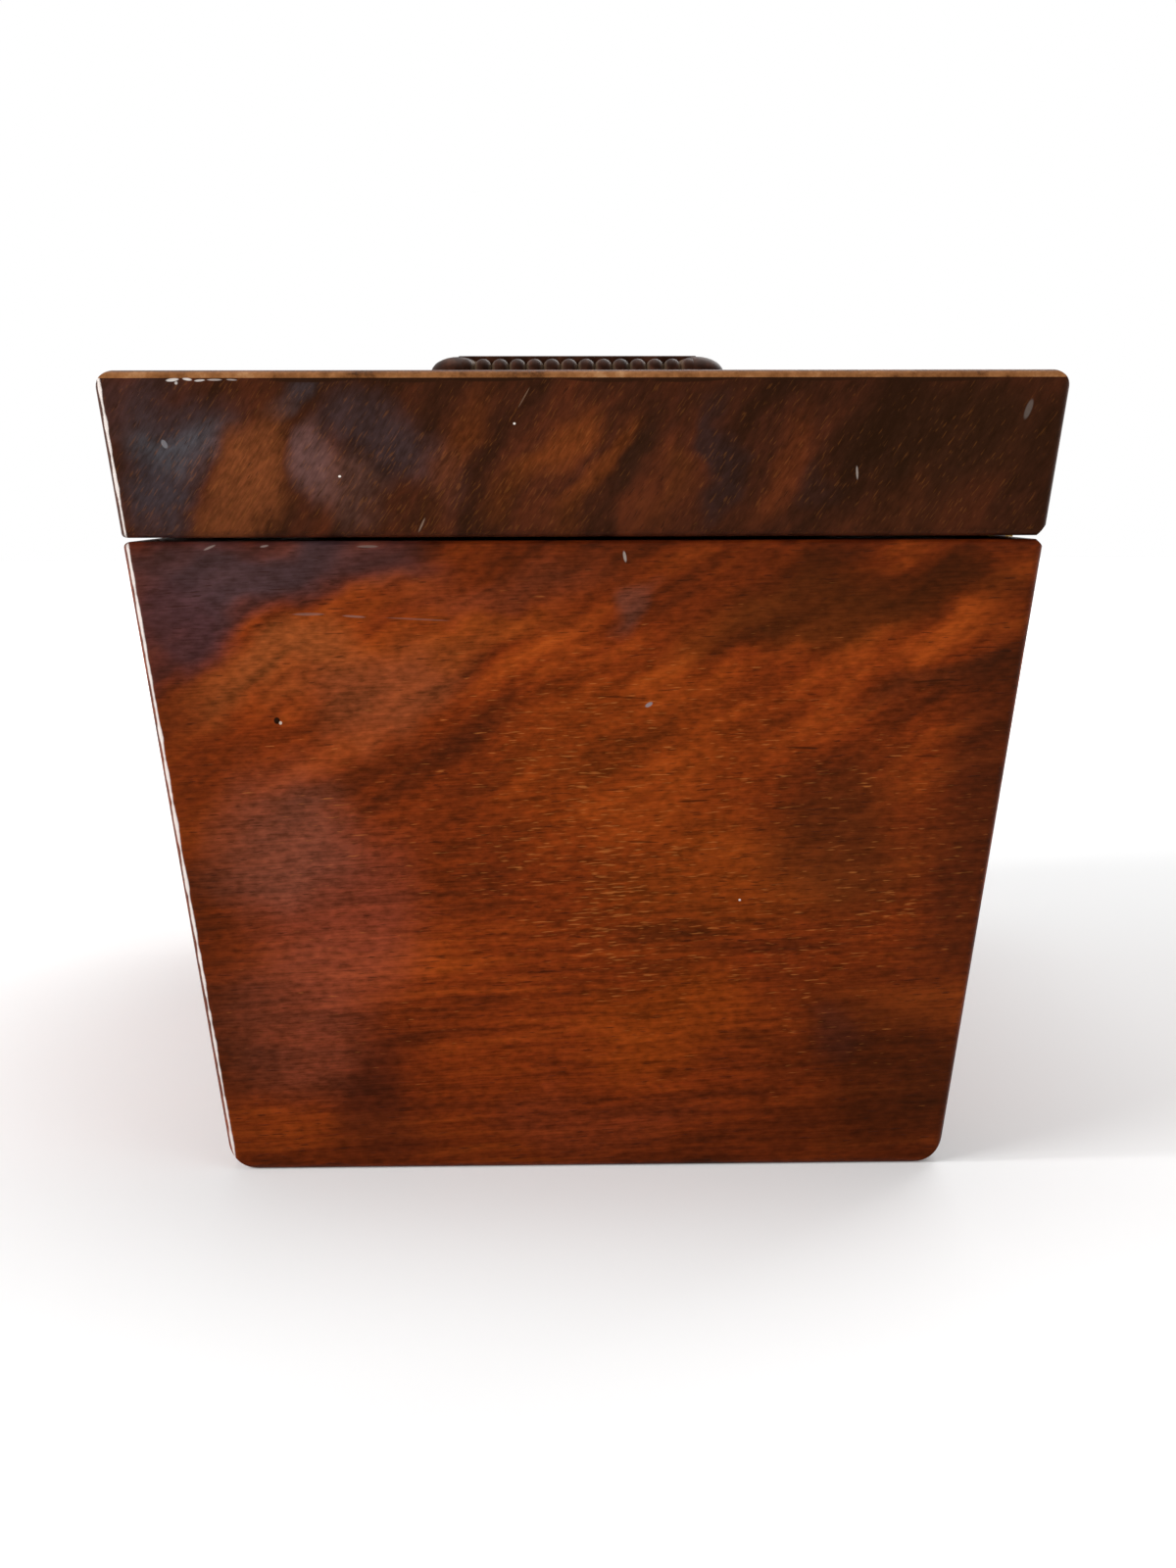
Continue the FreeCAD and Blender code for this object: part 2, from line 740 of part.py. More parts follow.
def make_link_plate():
    """The plate on the lid, with the two loops that the bolt holds."""
    high = f"{LID_LOW} + selvedge_thick"
    plate = block("link_blank", span("0", "selvedge_length"), SELVEDGE_Y, (LID_LOW, high))
    loops = [
        block(f"link_{side}_loop", span(link_x(side), "link_thick"), span(LOCK_MIDDLE, "link_width"),
              (f"{LID_LOW} - link_drop", high))
        for side in SIGNS
    ]
    eyes = [
        block(f"link_{side}_eye", span(link_x(side), "link_thick + overrun"),
              span(LOCK_MIDDLE, "link_width - 2 * link_rim"), (EYE_LOW, f"{EYE_LOW} + link_eye_height"))
        for side in SIGNS
    ]
    seats = [
        countersink(f"link_seat_{side}", f"{sign} * {LOCK_SCREW_X}", LOCK_MIDDLE, LID_LOW, "up")
        for side, sign in SIGNS.items()
    ]
    keep(cut("link_plate", fuse("link_joined", [plate] + loops), eyes + seats), "link_plate")
    screws = [
        screw(f"link_screw_{side}", f"{sign} * {LOCK_SCREW_X}", LOCK_MIDDLE, LID_LOW, "up")
        for side, sign in SIGNS.items()
    ]
    keep(group("link_plate_screws", screws), "link_plate_screws")


def lock_recesses():
    """What is cut from the front board for the lock, its key and its screws."""
    over = f"{SEAM} + overrun"
    tools = [
        block("lock_mortise", span("0", "lock_width"), (LOCK_FRONT, LOCK_BACK), (LOCK_LOW, over)),
        block("selvedge_recess", span("0", "selvedge_length"), SELVEDGE_Y, (LOCK_TOP, over)),
        keyhole("board_keyhole", "escutcheon_rim", (f"-{half_depth(SEAM)} - overrun", LOCK_FRONT)),
    ]
    for side, sign in SIGNS.items():
        x = f"{sign} * {LOCK_SCREW_X}"
        tools.append(screw_hole(f"lock_hole_{side}", x, LOCK_MIDDLE, SEAM, "down"))
    return tools


def link_recesses():
    """What is cut from the lid's front rail for the link plate and its screws."""
    tools = [
        block("link_recess", span("0", "selvedge_length"), SELVEDGE_Y,
              (f"{LID_LOW} - overrun", f"{LID_LOW} + selvedge_thick")),
    ]
    for side, sign in SIGNS.items():
        x = f"{sign} * {LOCK_SCREW_X}"
        tools.append(screw_hole(f"link_hole_{side}", x, LOCK_MIDDLE, LID_LOW, "up"))
    return tools


def make_escutcheon(base_form):
    """A keyhole-shaped brass band, flush with the leaning front board."""
    y = (f"-{half_depth(SEAM)} - overrun", LOCK_FRONT)
    band = cut("escutcheon_band", keyhole("escutcheon_outer", "escutcheon_rim", y),
               [keyhole("escutcheon_inner", "0", (f"{y[0]} - overrun", f"{y[1]} + overrun"))])
    keep(common("escutcheon", [band, base_form]), "escutcheon")


# The base

SIDE_NODES = {
    "front": "base_front_board",
    "back": "base_back_board",
    "left": "base_left_end",
    "right": "base_right_end",
}
RAIL_NODES = {
    "front": "lid_front_rail",
    "back": "lid_back_rail",
    "left": "lid_left_end",
    "right": "lid_right_end",
}


def mitred_walls(shell, wedges, nodes, recesses):
    """Parts a ring of walls at its mitres and cuts each wall's recesses."""
    for side, node in nodes.items():
        if side in recesses:
            wall = common(node + "_blank", [shell, wedges[side]])
            keep(cut(node, wall, recesses[side]), node)
        else:
            keep(common(node, [shell, wedges[side]]), node)


def make_base(wedges):
    form = make_base_form()
    over = f"{SEAM} + overrun"
    well = frustum("base_well", "-overrun", over, "wall")
    recesses = {
        "front": lock_recesses(),
        "back": hinge_recesses("base", f"{SEAM} - leaf_thick", over, SEAM, "down"),
    }
    mitred_walls(cut("base_walls", form, [well]), wedges, SIDE_NODES, recesses)
    keep(frustum("base_bottom_board", "0", "bottom_thick", "wall"), "base_bottom_board")
    lined = frustum("liner_block", "bottom_thick", SEAM, "wall")
    space = frustum("liner_space", "bottom_thick - overrun", over, "wall + liner_thick")
    liners = {side: "liner_" + side for side in SIDE_NODES}
    mitred_walls(cut("liner_ring", lined, [space]), wedges, liners, {})
    paper = frustum("floor_lining", "bottom_thick", "bottom_thick + floor_paper", "wall + liner_thick")
    keep(paper, "floor_lining")
    make_escutcheon(form)


# The lid

CORE_TOP = "(box_height - veneer)"
CORE_LOW = f"({CORE_TOP} - core_thick)"
HANDLE_SCREW_X = {side: f"{sign} * handle_screw_spread" for side, sign in SIGNS.items()}


def make_lid(wedges):
    form = make_lid_form()
    hollow = frustum("lid_hollow", f"{LID_LOW} - overrun", "box_height + overrun", "wall")
    skin = block("veneer_slab", span("0", "top_length + overrun"), span("0", "top_depth + overrun"),
                 (CORE_TOP, "box_height + overrun"))
    frame = cut("lid_frame", form, [fuse("lid_frame_waste", [hollow, skin])])
    recesses = {
        "front": link_recesses(),
        "back": hinge_recesses("lid", f"{LID_LOW} - overrun", f"{LID_LOW} + leaf_thick", LID_LOW, "up"),
    }
    mitred_walls(frame, wedges, RAIL_NODES, recesses)
    holes = [
        screw_hole(f"handle_hole_{side}", x, "0", CORE_LOW, "up", "handle_screw_length")
        for side, x in HANDLE_SCREW_X.items()
    ]
    seats = [
        countersink(f"handle_seat_{side}", x, "0", CORE_LOW, "up")
        for side, x in HANDLE_SCREW_X.items()
    ]
    keep(cut("lid_top_veneer", common("veneer_sheet", [form, skin]), holes), "lid_top_veneer")
    core = frustum("lid_core_block", CORE_LOW, CORE_TOP, "wall")
    keep(cut("lid_top_core", core, holes + seats), "lid_top_core")
    keep(frustum("lid_lining", f"{CORE_LOW} - lid_paper", CORE_LOW, "wall"), "lid_lining")
    screws = [
        screw(f"handle_screw_{side}", x, "0", CORE_LOW, "up", "handle_screw_length")
        for side, x in HANDLE_SCREW_X.items()
    ]
    keep(group("handle_screws", screws), "handle_screws")
    keep(cut("lid_handle", make_handle(), holes), "lid_handle")


# The carved handle

PITCH = "((handle_width - 2 * handle_ovolo) / gadroons_across)"
PANEL_X = f"(gadroons_along * {PITCH} / 2)"
PANEL_Y = "(handle_width / 2 - handle_ovolo)"
OVOLO_LOW = "(box_height + handle_plinth)"
VALLEY = "(handle_ovolo - gadroon_depth)"
BED = f"({VALLEY} - gadroon_root / 2)"
BEND_ANGLES = (0, 30, 60, 90)


def plan_pad(body, name, reach, low, high):
    """A pad of the handle's plan, reaching out from its panel, between two heights."""
    plan = sketch(body, name + "_plan", "XY_Plane", low)
    half_x, half_y = f"({PANEL_X} + {reach})", f"({PANEL_Y} + {reach})"
    outline(plan, rectangle((f"-{half_x}", half_x), (f"-{half_y}", half_y)))
    return extrude(body, "Pad", name + "_pad", plan, f"({high}) - ({low})", "One side")


def gadroon_row(body, side, turn, at, first, axis, count):
    """A row of lobes: one section turned upwards about the foot of the panel, and its copies."""
    lobe = body.newObject("PartDesign::AdditiveLoft", f"gadroon_{side}")
    drawings = []
    for angle in BEND_ANGLES:
        drawing = sketch(body, f"gadroon_{side}_section_{angle}", "XY_Plane", OVOLO_LOW)
        outwards = FreeCAD.Rotation(FreeCAD.Vector(0, 0, 1), turn)
        upwards = FreeCAD.Rotation(FreeCAD.Vector(0, 1, 0), -angle)
        drawing.AttachmentOffset = FreeCAD.Placement(FreeCAD.Vector(), outwards * upwards)
        for name, text in zip("xyz", (*at, OVOLO_LOW)):
            drawing.setExpression("AttachmentOffset.Base." + name, sums(text))
        outline(drawing, [
            (f"{VALLEY} - gadroon_root", f"{first} - {PITCH} / 2"),
            (VALLEY, f"{first} - {PITCH} / 2"),
            ("handle_ovolo", f"{first} - gadroon_crest / 2"),
            ("handle_ovolo", f"{first} + gadroon_crest / 2"),
            (VALLEY, f"{first} + {PITCH} / 2"),
            (f"{VALLEY} - gadroon_root", f"{first} + {PITCH} / 2"),
        ])
        drawings.append(drawing)
    lobe.Profile = drawings[0]
    lobe.Sections = drawings[1:]
    lobe.Ruled = True
    row = body.newObject("PartDesign::LinearPattern", f"gadroons_{side}")
    row.Originals = [lobe]
    row.Direction = ([feature for feature in body.Origin.OriginFeatures if feature.Role == axis][0], [""])
    bind(row, Length=f"({count} - 1) * {PITCH}", Occurrences=count)
    body.Tip = row


def corner_lobe(body, name, sign_x, sign_y):
    """A plain round lobe, turned about an upright line at a corner of the panel."""
    drawing = sketch(body, name + "_profile", "XZ_Plane", f"-({sign_y}{PANEL_Y})")
    middle = f"{sign_x}{PANEL_X}"
    points = [(middle, OVOLO_LOW)]
    for angle in BEND_ANGLES:
        out, up = f"handle_ovolo * cos({angle})", f"handle_ovolo * sin({angle})"
        points.append((f"{middle} + {out}", f"{OVOLO_LOW} + {up}"))
    outline(drawing, points)
    ends = [FreeCAD.Vector(number(u), number(v), 0) for u, v in (points[0], points[-1])]
    axis = drawing.addGeometry(Part.LineSegment(*ends), True)
    for end, (u, v) in ((1, points[0]), (2, points[-1])):
        pin_point(drawing, axis, end, u, v)
    lobe = body.newObject("PartDesign::Revolution", name)
    lobe.Profile = drawing
    lobe.ReferenceAxis = (drawing, ["Axis0"])
    lobe.Angle = 360


def make_handle():
    """A flat-topped tablet whose quarter-round sides are carved into gadroons, with plain corner lobes."""
    body = doc.addObject("PartDesign::Body", "handle_blank")

    def upright(middle, along):
        return abs(along.z) > abs(along.x) + abs(along.y)

    def top_edge(level):
        return lambda middle, along: middle.z > number(level) and not upright(middle, along)

    plinth = plan_pad(body, "handle_plinth", "handle_ovolo", "box_height", OVOLO_LOW)
    round_edges(body, plinth, "handle_plinth_corners", "handle_ovolo", upright)
    bed_top = f"{OVOLO_LOW} + {BED}"
    bed = plan_pad(body, "handle_bed", BED, "box_height", bed_top)
    round_edges(body, bed, "handle_bed_round", f"{BED} - handle_edge_round",
                top_edge(f"{bed_top} - handle_edge_round / 2"))
    panel = plan_pad(body, "handle_panel", "0", OVOLO_LOW, "box_height + handle_height")
    round_edges(body, panel, "handle_panel_round", "handle_edge_round",
                top_edge("box_height + handle_height - handle_edge_round / 2"))
    for index, (sign_x, sign_y) in enumerate((("-", "-"), ("-", ""), ("", "-"), ("", ""))):
        corner_lobe(body, f"handle_corner_{index}", sign_x, sign_y)
    first_x, first_y = f"({PANEL_X} - {PITCH} / 2)", f"({PANEL_Y} - {PITCH} / 2)"
    gadroon_row(body, "right", 0, (PANEL_X, "0"), f"-{first_y}", "Y_Axis", "gadroons_across")
    gadroon_row(body, "left", 180, (f"-{PANEL_X}", "0"), first_y, "Y_Axis", "gadroons_across")
    gadroon_row(body, "front", -90, ("0", f"-{PANEL_Y}"), f"-{first_x}", "X_Axis", "gadroons_along")
    gadroon_row(body, "back", 90, ("0", PANEL_Y), first_x, "X_Axis", "gadroons_along")
    return body


wedges = make_mitres()
make_base(wedges)
make_lid(wedges)
make_hinges()
make_lock()
make_link_plate()
doc.recompute()

failed = [thing.Name for thing in doc.Objects if {"Invalid", "Error"} & set(thing.State)]
empty = [node for node, thing in NODES.items() if thing.Shape.isNull() or not thing.Shape.isValid()]
if failed or empty:
    raise SystemExit(f"not built: {failed} {empty}")
os.makedirs("parts", exist_ok=True)
for node, thing in NODES.items():
    thing.Shape.exportStep(f"parts/{node}.step")
    print(node, len(thing.Shape.Solids), round(thing.Shape.Volume, 1))
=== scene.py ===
# %% [markdown]
# # A mahogany sarcophagus box
# The box was glued up from mitred boards that lean outwards, then sawn apart so that the lid matches the
# base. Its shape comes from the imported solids, so this lesson is about what a maker adds last: carving,
# screws and polish. The frame is in metres, with X along the box, Y from front to back and Z up.

# %% Load the frame
import math

import bpy
from mathutils import Matrix, Vector


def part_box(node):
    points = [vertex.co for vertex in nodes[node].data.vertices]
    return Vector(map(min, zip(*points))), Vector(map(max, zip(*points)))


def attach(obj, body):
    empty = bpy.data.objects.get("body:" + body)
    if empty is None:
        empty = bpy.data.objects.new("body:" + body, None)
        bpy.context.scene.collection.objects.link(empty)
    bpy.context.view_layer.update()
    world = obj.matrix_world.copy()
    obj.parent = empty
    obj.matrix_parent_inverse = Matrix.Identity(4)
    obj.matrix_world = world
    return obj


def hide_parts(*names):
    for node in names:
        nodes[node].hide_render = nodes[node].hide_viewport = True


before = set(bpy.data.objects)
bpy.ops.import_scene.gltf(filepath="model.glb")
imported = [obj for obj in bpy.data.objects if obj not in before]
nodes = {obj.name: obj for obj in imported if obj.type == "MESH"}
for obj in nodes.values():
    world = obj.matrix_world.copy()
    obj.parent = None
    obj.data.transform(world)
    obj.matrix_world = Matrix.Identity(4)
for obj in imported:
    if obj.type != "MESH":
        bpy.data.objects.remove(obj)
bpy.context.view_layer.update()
MM = 0.001
print(len(nodes), "pieces")

# %% [markdown]
# ## The camera
# The photograph shows one short end from about lid height, almost straight on. A camera could be placed by
# eye, but the corners of the end were measured instead, and the eye point, the angles and the lens follow
# from them. The picture is a little off the lens's axis, so a small shift is needed too.

# %% Camera
EYE = Vector((572.5, -6.8, 117.6)) * MM
TURN, TILT, ROLL = math.radians(1.633), math.radians(6.413), math.radians(-0.15)
LENS = 59.6
SHIFT = -0.02

ahead = Vector((-math.cos(TILT) * math.cos(TURN), math.cos(TILT) * math.sin(TURN), -math.sin(TILT)))
camera_data = bpy.data.cameras.new("camera")
camera_data.lens = LENS
camera_data.shift_x = SHIFT
camera_data.clip_start = 0.01
camera = bpy.data.objects.new("camera", camera_data)
bpy.context.scene.collection.objects.link(camera)
facing = ahead.to_track_quat("-Z", "Y").to_matrix()
camera.matrix_world = Matrix.Translation(EYE) @ (facing @ Matrix.Rotation(ROLL, 3, "Z")).to_4x4()
bpy.context.scene.camera = camera
print("camera at", [round(v, 3) for v in EYE], "lens", LENS)

# %% [markdown]
# ## Adding nodes
# Every finish below is a network of nodes. One function adds a node, sets its values, joins what comes before
# it and gives the socket to go on from. Colours are written as the eye sees them, in sRGB hex, and one
# function makes them linear.

# %% Colour and node helpers
def linear(colour):
    """A hex colour as the linear values that shader sockets take."""
    shares = [int(colour[i:i + 2], 16) / 255 for i in (1, 3, 5)]
    return [s / 12.92 if s <= 0.04045 else ((s + 0.055) / 1.055) ** 2.4 for s in shares] + [1.0]


def add(tree, kind, inputs=None, output=0, stops=None, **settings):
    """Adds a node, sets its properties and sockets, joins other sockets to it and gives its output."""
    node = tree.nodes.new("ShaderNode" + kind)
    for name, value in settings.items():
        setattr(node, name, value)
    for key, value in (inputs or {}).items():
        if isinstance(value, bpy.types.NodeSocket):
            tree.links.new(value, node.inputs[key])
        else:
            node.inputs[key].default_value = value
    for place, colour in stops or []:
        known = [e for e in node.color_ramp.elements if abs(e.position - place) < 1e-4]
        (known[0] if known else node.color_ramp.elements.new(place)).color = linear(colour)
    return node.outputs[output]


def finish(name):
    """A new material with its node tree and its shader."""
    material = bpy.data.materials.new(name)
    material.use_nodes = True
    tree = material.node_tree
    return material, tree, tree.nodes["Principled BSDF"]


def dress(material, *names):
    """Puts one finish on pieces of the frame."""
    for name in names:
        nodes[name].data.materials.clear()
        nodes[name].data.materials.append(material)


print("node helpers ready")

# %% [markdown]
# ## Studio
# The object stood alone on white. Soft lamps light the box at a plain level, and the world looks white to
# the camera and in reflections. So does the floor far away, where the lamps don't reach. Near the box it
# glows little, so that it keeps the shadow. A long lamp on the left brightens the left arrises.

# %% Floor
FLOOR_SIZE = 8
NEAR_GLOW, FAR_GLOW = 0.12, 0.9
NEAR_END, FAR_START = 0.4, 1.1


def seen_directly(tree):
    """1 for rays of the camera, mirrored and bent ones too, and 0 for rays that only carry light."""
    rays = add(tree, "LightPath").node.outputs
    seen = add(tree, "Math", {0: rays["Is Camera Ray"], 1: rays["Is Glossy Ray"]}, operation="MAXIMUM")
    return add(tree, "Math", {0: seen, 1: rays["Is Transmission Ray"]}, operation="MAXIMUM")


bpy.ops.object.select_all(action="DESELECT")
bpy.ops.mesh.primitive_plane_add(size=FLOOR_SIZE)
floor = bpy.context.object
floor.name = "floor"
paper_white, tree, shader = finish("white_studio_floor")
shader.inputs["Base Color"].default_value = linear("#e6e6e6")
shader.inputs["Roughness"].default_value = 0.9
place = add(tree, "TexCoord", output="Object")
far = add(tree, "VectorMath", {0: place}, output=1, operation="LENGTH")
level = add(tree, "MapRange", {
    "Value": far, "From Min": NEAR_END, "From Max": FAR_START, "To Min": NEAR_GLOW, "To Max": FAR_GLOW,
})
glow = add(tree, "Math", {0: seen_directly(tree), 1: level}, operation="MULTIPLY")
shader.inputs["Emission Color"].default_value = linear("#ffffff")
tree.links.new(glow, shader.inputs["Emission Strength"])
floor.data.materials.append(paper_white)
print("floor", floor.dimensions[:])

# %% World and lamps
LIGHT_LEVEL, SEEN_LEVEL = 0.32, 1.0
world = bpy.data.worlds.new("studio")
bpy.context.scene.world = world
world.use_nodes = True
tree = world.node_tree
strength = add(tree, "MapRange", {
    "Value": seen_directly(tree), "To Min": LIGHT_LEVEL, "To Max": SEEN_LEVEL,
})
tree.links.new(strength, tree.nodes["Background"].inputs["Strength"])
tree.nodes["Background"].inputs["Color"].default_value = linear("#ffffff")


def lamp(name, at, towards, width, height, power):
    """A soft rectangular lamp that faces a point."""
    light = bpy.data.lights.new(name, "AREA")
    light.shape = "RECTANGLE"
    light.size = width
    light.size_y = height
    light.energy = power
    thing = bpy.data.objects.new(name, light)
    bpy.context.scene.collection.objects.link(thing)
    thing.location = at
    thing.rotation_euler = (Vector(towards) - Vector(at)).to_track_quat("-Z", "Y").to_euler()


lamp("key", (0.6, -0.65, 0.45), (0.12, 0, 0.08), 0.5, 0.5, 4.2)
lamp("fill", (1.3, 0.9, 0.7), (0, 0, 0.08), 1.0, 1.0, 3)
lamp("top", (-0.3, 0.1, 1.6), (0, 0, 0.1), 1.2, 1.0, 10)
lamp("back", (-1.2, 0.6, 0.9), (0, 0, 0.08), 1.0, 1.0, 10)
lamp("left_strip", (0.3, -1.0, 0.25), (0.1, 0, 0.08), 0.12, 1.2, 9)
bpy.context.scene.view_settings.view_transform = "Standard"

# %% [markdown]
# ## French-polished mahogany
# The mahogany was sawn across a mottled figure, stained by age and bodied up with shellac. The eye sees
# soft clouds of dark and amber, fine fibres along the grain, short dark pores, and pale wood where hands
# wore the arrises. An image would fix the figure to one side, so layered noise on object coordinates makes
# it, and each board's own clouds and marks are then laid over it one by one.

# %% Sizes of the box that the wear follows
BOX_HEIGHT = 137.5 * MM
FLARE = 18 * MM
LEAN = FLARE / BOX_HEIGHT
SEAM_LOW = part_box("base_right_end")[1].z
SEAM_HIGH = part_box("lid_right_end")[0].z
HALF_FOOT = {"X": 127 * MM, "Y": 62 * MM}
END_MIDDLE = 136 * MM
print("seam from", round(SEAM_LOW, 4), "to", round(SEAM_HIGH, 4))

# %% [markdown]
# ### Figure
# Where a branch left the trunk, the fibres swirl, and a saw cut through them shows streaks and clouds. One
# wave would be too even. So two noises are drawn out along the board, and a slow third one pushes them aside
# by a few millimetres.

# %% Grain and drift
DRIFT_MM = 22
CALM, GENTLE, LOOSE = 2.5 * MM, 9 * MM, 26 * MM


def grain(tree, source, length_mm, width_mm, detail):
    """A noise drawn out along the grain to a length and a width."""
    sized = (1 / (length_mm * MM), 1 / (width_mm * MM), 1 / (width_mm * MM))
    stretched = add(tree, "VectorMath", {0: source, 1: sized}, operation="MULTIPLY")
    return add(tree, "TexNoise", {"Vector": stretched, "Scale": 1.0, "Detail": detail})


def drifted(tree, board):
    """The board's places pushed aside by a slow noise, by three strengths."""
    drift = add(tree, "TexNoise", {"Vector": board, "Scale": 1 / (DRIFT_MM * MM), "Detail": 3.0}, output=1)
    drift = add(tree, "VectorMath", {0: drift, 1: (0.5, 0.5, 0.5)}, operation="SUBTRACT")
    pushed = []
    for reach in (CALM, GENTLE, LOOSE):
        push = add(tree, "VectorMath", {0: drift, "Scale": reach}, operation="SCALE")
        pushed.append(add(tree, "VectorMath", {0: board, 1: push}, operation="ADD"))
    return pushed


print("places drift by up to", LOOSE / 2 / MM, "mm")

# %% Figure
CLOUD_LONGER, CLOUD_WIDER = 2.2, 4
CLOUD_WEIGHT = 0.6
FLAT_FINE, FLAT_WEIGHT = 0.3, 0.36
RISEN_FINE, RISEN_WEIGHT = 1.0, 0.6
FLAT_BELOW, RISEN_ABOVE = 45 * MM, 85 * MM


def layered(tree, source, slant, figure_mm, fine, weight):
    """Clouds and streaks that rise at a slant, with a half as their mean."""
    long, wide = figure_mm
    balance = (1 - CLOUD_WEIGHT - weight) / 2
    slanted = add(tree, "Mapping", {"Vector": source, "Rotation": (0, 0, -math.radians(slant))})
    clouds = grain(tree, slanted, long * CLOUD_LONGER, wide * CLOUD_WIDER, 3.0)
    streaks = grain(tree, slanted, long, wide * fine, 5.0)
    clouds = add(tree, "Math", {0: clouds, 1: CLOUD_WEIGHT, 2: balance}, operation="MULTIPLY_ADD")
    return add(tree, "Math", {0: streaks, 1: weight, 2: clouds}, operation="MULTIPLY_ADD")


def figure(tree, height, calm, gentle, slants, figure_mm):
    """Streaks that lie flat low on the board and rise higher up."""
    upper = add(tree, "MapRange", {"Value": height, "From Min": FLAT_BELOW, "From Max": RISEN_ABOVE})
    flat = layered(tree, calm, slants[0], figure_mm, FLAT_FINE, FLAT_WEIGHT)
    risen = layered(tree, gentle, slants[1], figure_mm, RISEN_FINE, RISEN_WEIGHT)
    return add(tree, "Mix", {0: upper, 2: flat, 3: risen})


print("streaks rise from", FLAT_BELOW / MM, "to", RISEN_ABOVE / MM, "mm up the board")

# %% Clouds and marks
OVAL_DEEP = 100 * MM


def far_from(tree, source, at, reach, tilt):
    """How far a place is from the middle of an oval, with 1 on its border."""
    oval = add(tree, "Mapping", {
        "Vector": source,
        "Location": (at[0] * MM, at[1] * MM, END_MIDDLE),
        "Rotation": (0, 0, math.radians(tilt)),
        "Scale": (reach[0] * MM, reach[1] * MM, OVAL_DEEP),
    }, vector_type="TEXTURE")
    return add(tree, "VectorMath", {0: oval}, output=1, operation="LENGTH")


def spots(tree, colour, source, ovals, softness):
    """Lays ovals of colour over the board."""
    for spot_colour, at, reach, tilt, strength in ovals:
        far = far_from(tree, source, at, reach, tilt)
        mask = add(tree, "MapRange", {
            "Value": far, "From Min": 1.0, "From Max": 1.0 - softness, "To Max": strength,
        }, interpolation_type="SMOOTHSTEP")
        colour = add(tree, "Mix", {0: mask, 6: colour, 7: linear(spot_colour)}, output=2, data_type="RGBA")
    return colour


print("ovals lie on the end at", END_MIDDLE / MM, "mm")

# %% [markdown]
# ### Pores and flecks
# Mahogany's pores are cut lengthwise and show as short dark dashes, and rays between them glint as short
# bright ones. Both are peaks of drawn-out noise, and they crowd together in places. They are drawn thicker
# than life so that they show.

# %% Pores and flecks
PORE_MM, FLECK_MM, CROWD_MM = (3.4, 0.38), (3, 0.3), 35
PORE_START, PORE_CROWDING, PORE_EDGE, PORE_DARK = 0.79, 0.2, 0.05, 0.55
FLECK_START, FLECK_CROWDING, FLECK_EDGE = 0.5, 0.25, 0.1
OVAL_PULL, OVAL_GAIN = 0.55, 0.22
BESIDE = (0.4, 0.7, 0.1)


def pores_and_flecks(tree, colour, board, straight, loose, fleck, crowd_oval):
    """Short dark and bright dashes along the fibres."""
    crowd = add(tree, "TexNoise", {"Vector": board, "Scale": 1 / (CROWD_MM * MM), "Detail": 1.0})
    edge = add(tree, "Math", {0: crowd, 1: -PORE_CROWDING, 2: PORE_START}, operation="MULTIPLY_ADD")
    pores = grain(tree, straight, *PORE_MM, 1.0)
    pores = add(tree, "Math", {0: pores, 1: edge}, operation="SUBTRACT")
    pores = add(tree, "MapRange", {"Value": pores, "From Min": 0.0, "From Max": PORE_EDGE})
    dark = add(tree, "Math", {0: pores, 1: PORE_DARK}, operation="MULTIPLY")
    colour = add(tree, "Mix", {0: dark, 6: colour, 7: linear("#1d0905")}, output=2, data_type="RGBA")
    if crowd_oval:
        near = far_from(tree, loose, *crowd_oval, 0)
        crowd = add(tree, "Math", {0: near, 1: OVAL_PULL, 2: crowd}, operation="MULTIPLY_ADD")
        crowd = add(tree, "Math", {0: crowd, 1: OVAL_GAIN}, operation="SUBTRACT")
    edge = add(tree, "Math", {0: crowd, 1: FLECK_CROWDING, 2: FLECK_START}, operation="MULTIPLY_ADD")
    beside = add(tree, "VectorMath", {0: straight, 1: BESIDE}, operation="ADD")
    flecks = grain(tree, beside, *FLECK_MM, 1.0)
    flecks = add(tree, "Math", {0: flecks, 1: edge}, operation="SUBTRACT")
    flecks = add(tree, "MapRange", {
        "Value": flecks, "From Min": 0.0, "From Max": FLECK_EDGE, "To Max": fleck,
    })
    colour = add(tree, "Mix", {0: flecks, 6: colour, 7: linear("#c07436")}, output=2, data_type="RGBA")
    return colour, pores


print("pores of", PORE_MM, "mm and flecks of", FLECK_MM, "mm")

# %% [markdown]
# ### Wear
# Hands and dusters rub the polish off the arrises first, and the faces are darker towards their edges.
# A painted mask would have to be made for each board. Instead the distance to the nearest arris follows from
# the box's lean, and a noise makes the border ragged. Only the outer faces are worn, not the sawn rims and
# the inside. Along the front arris of each end a pale line is a painted highlight.

# %% Distance to the arrises
INSIDE_COUNTS = 4.0


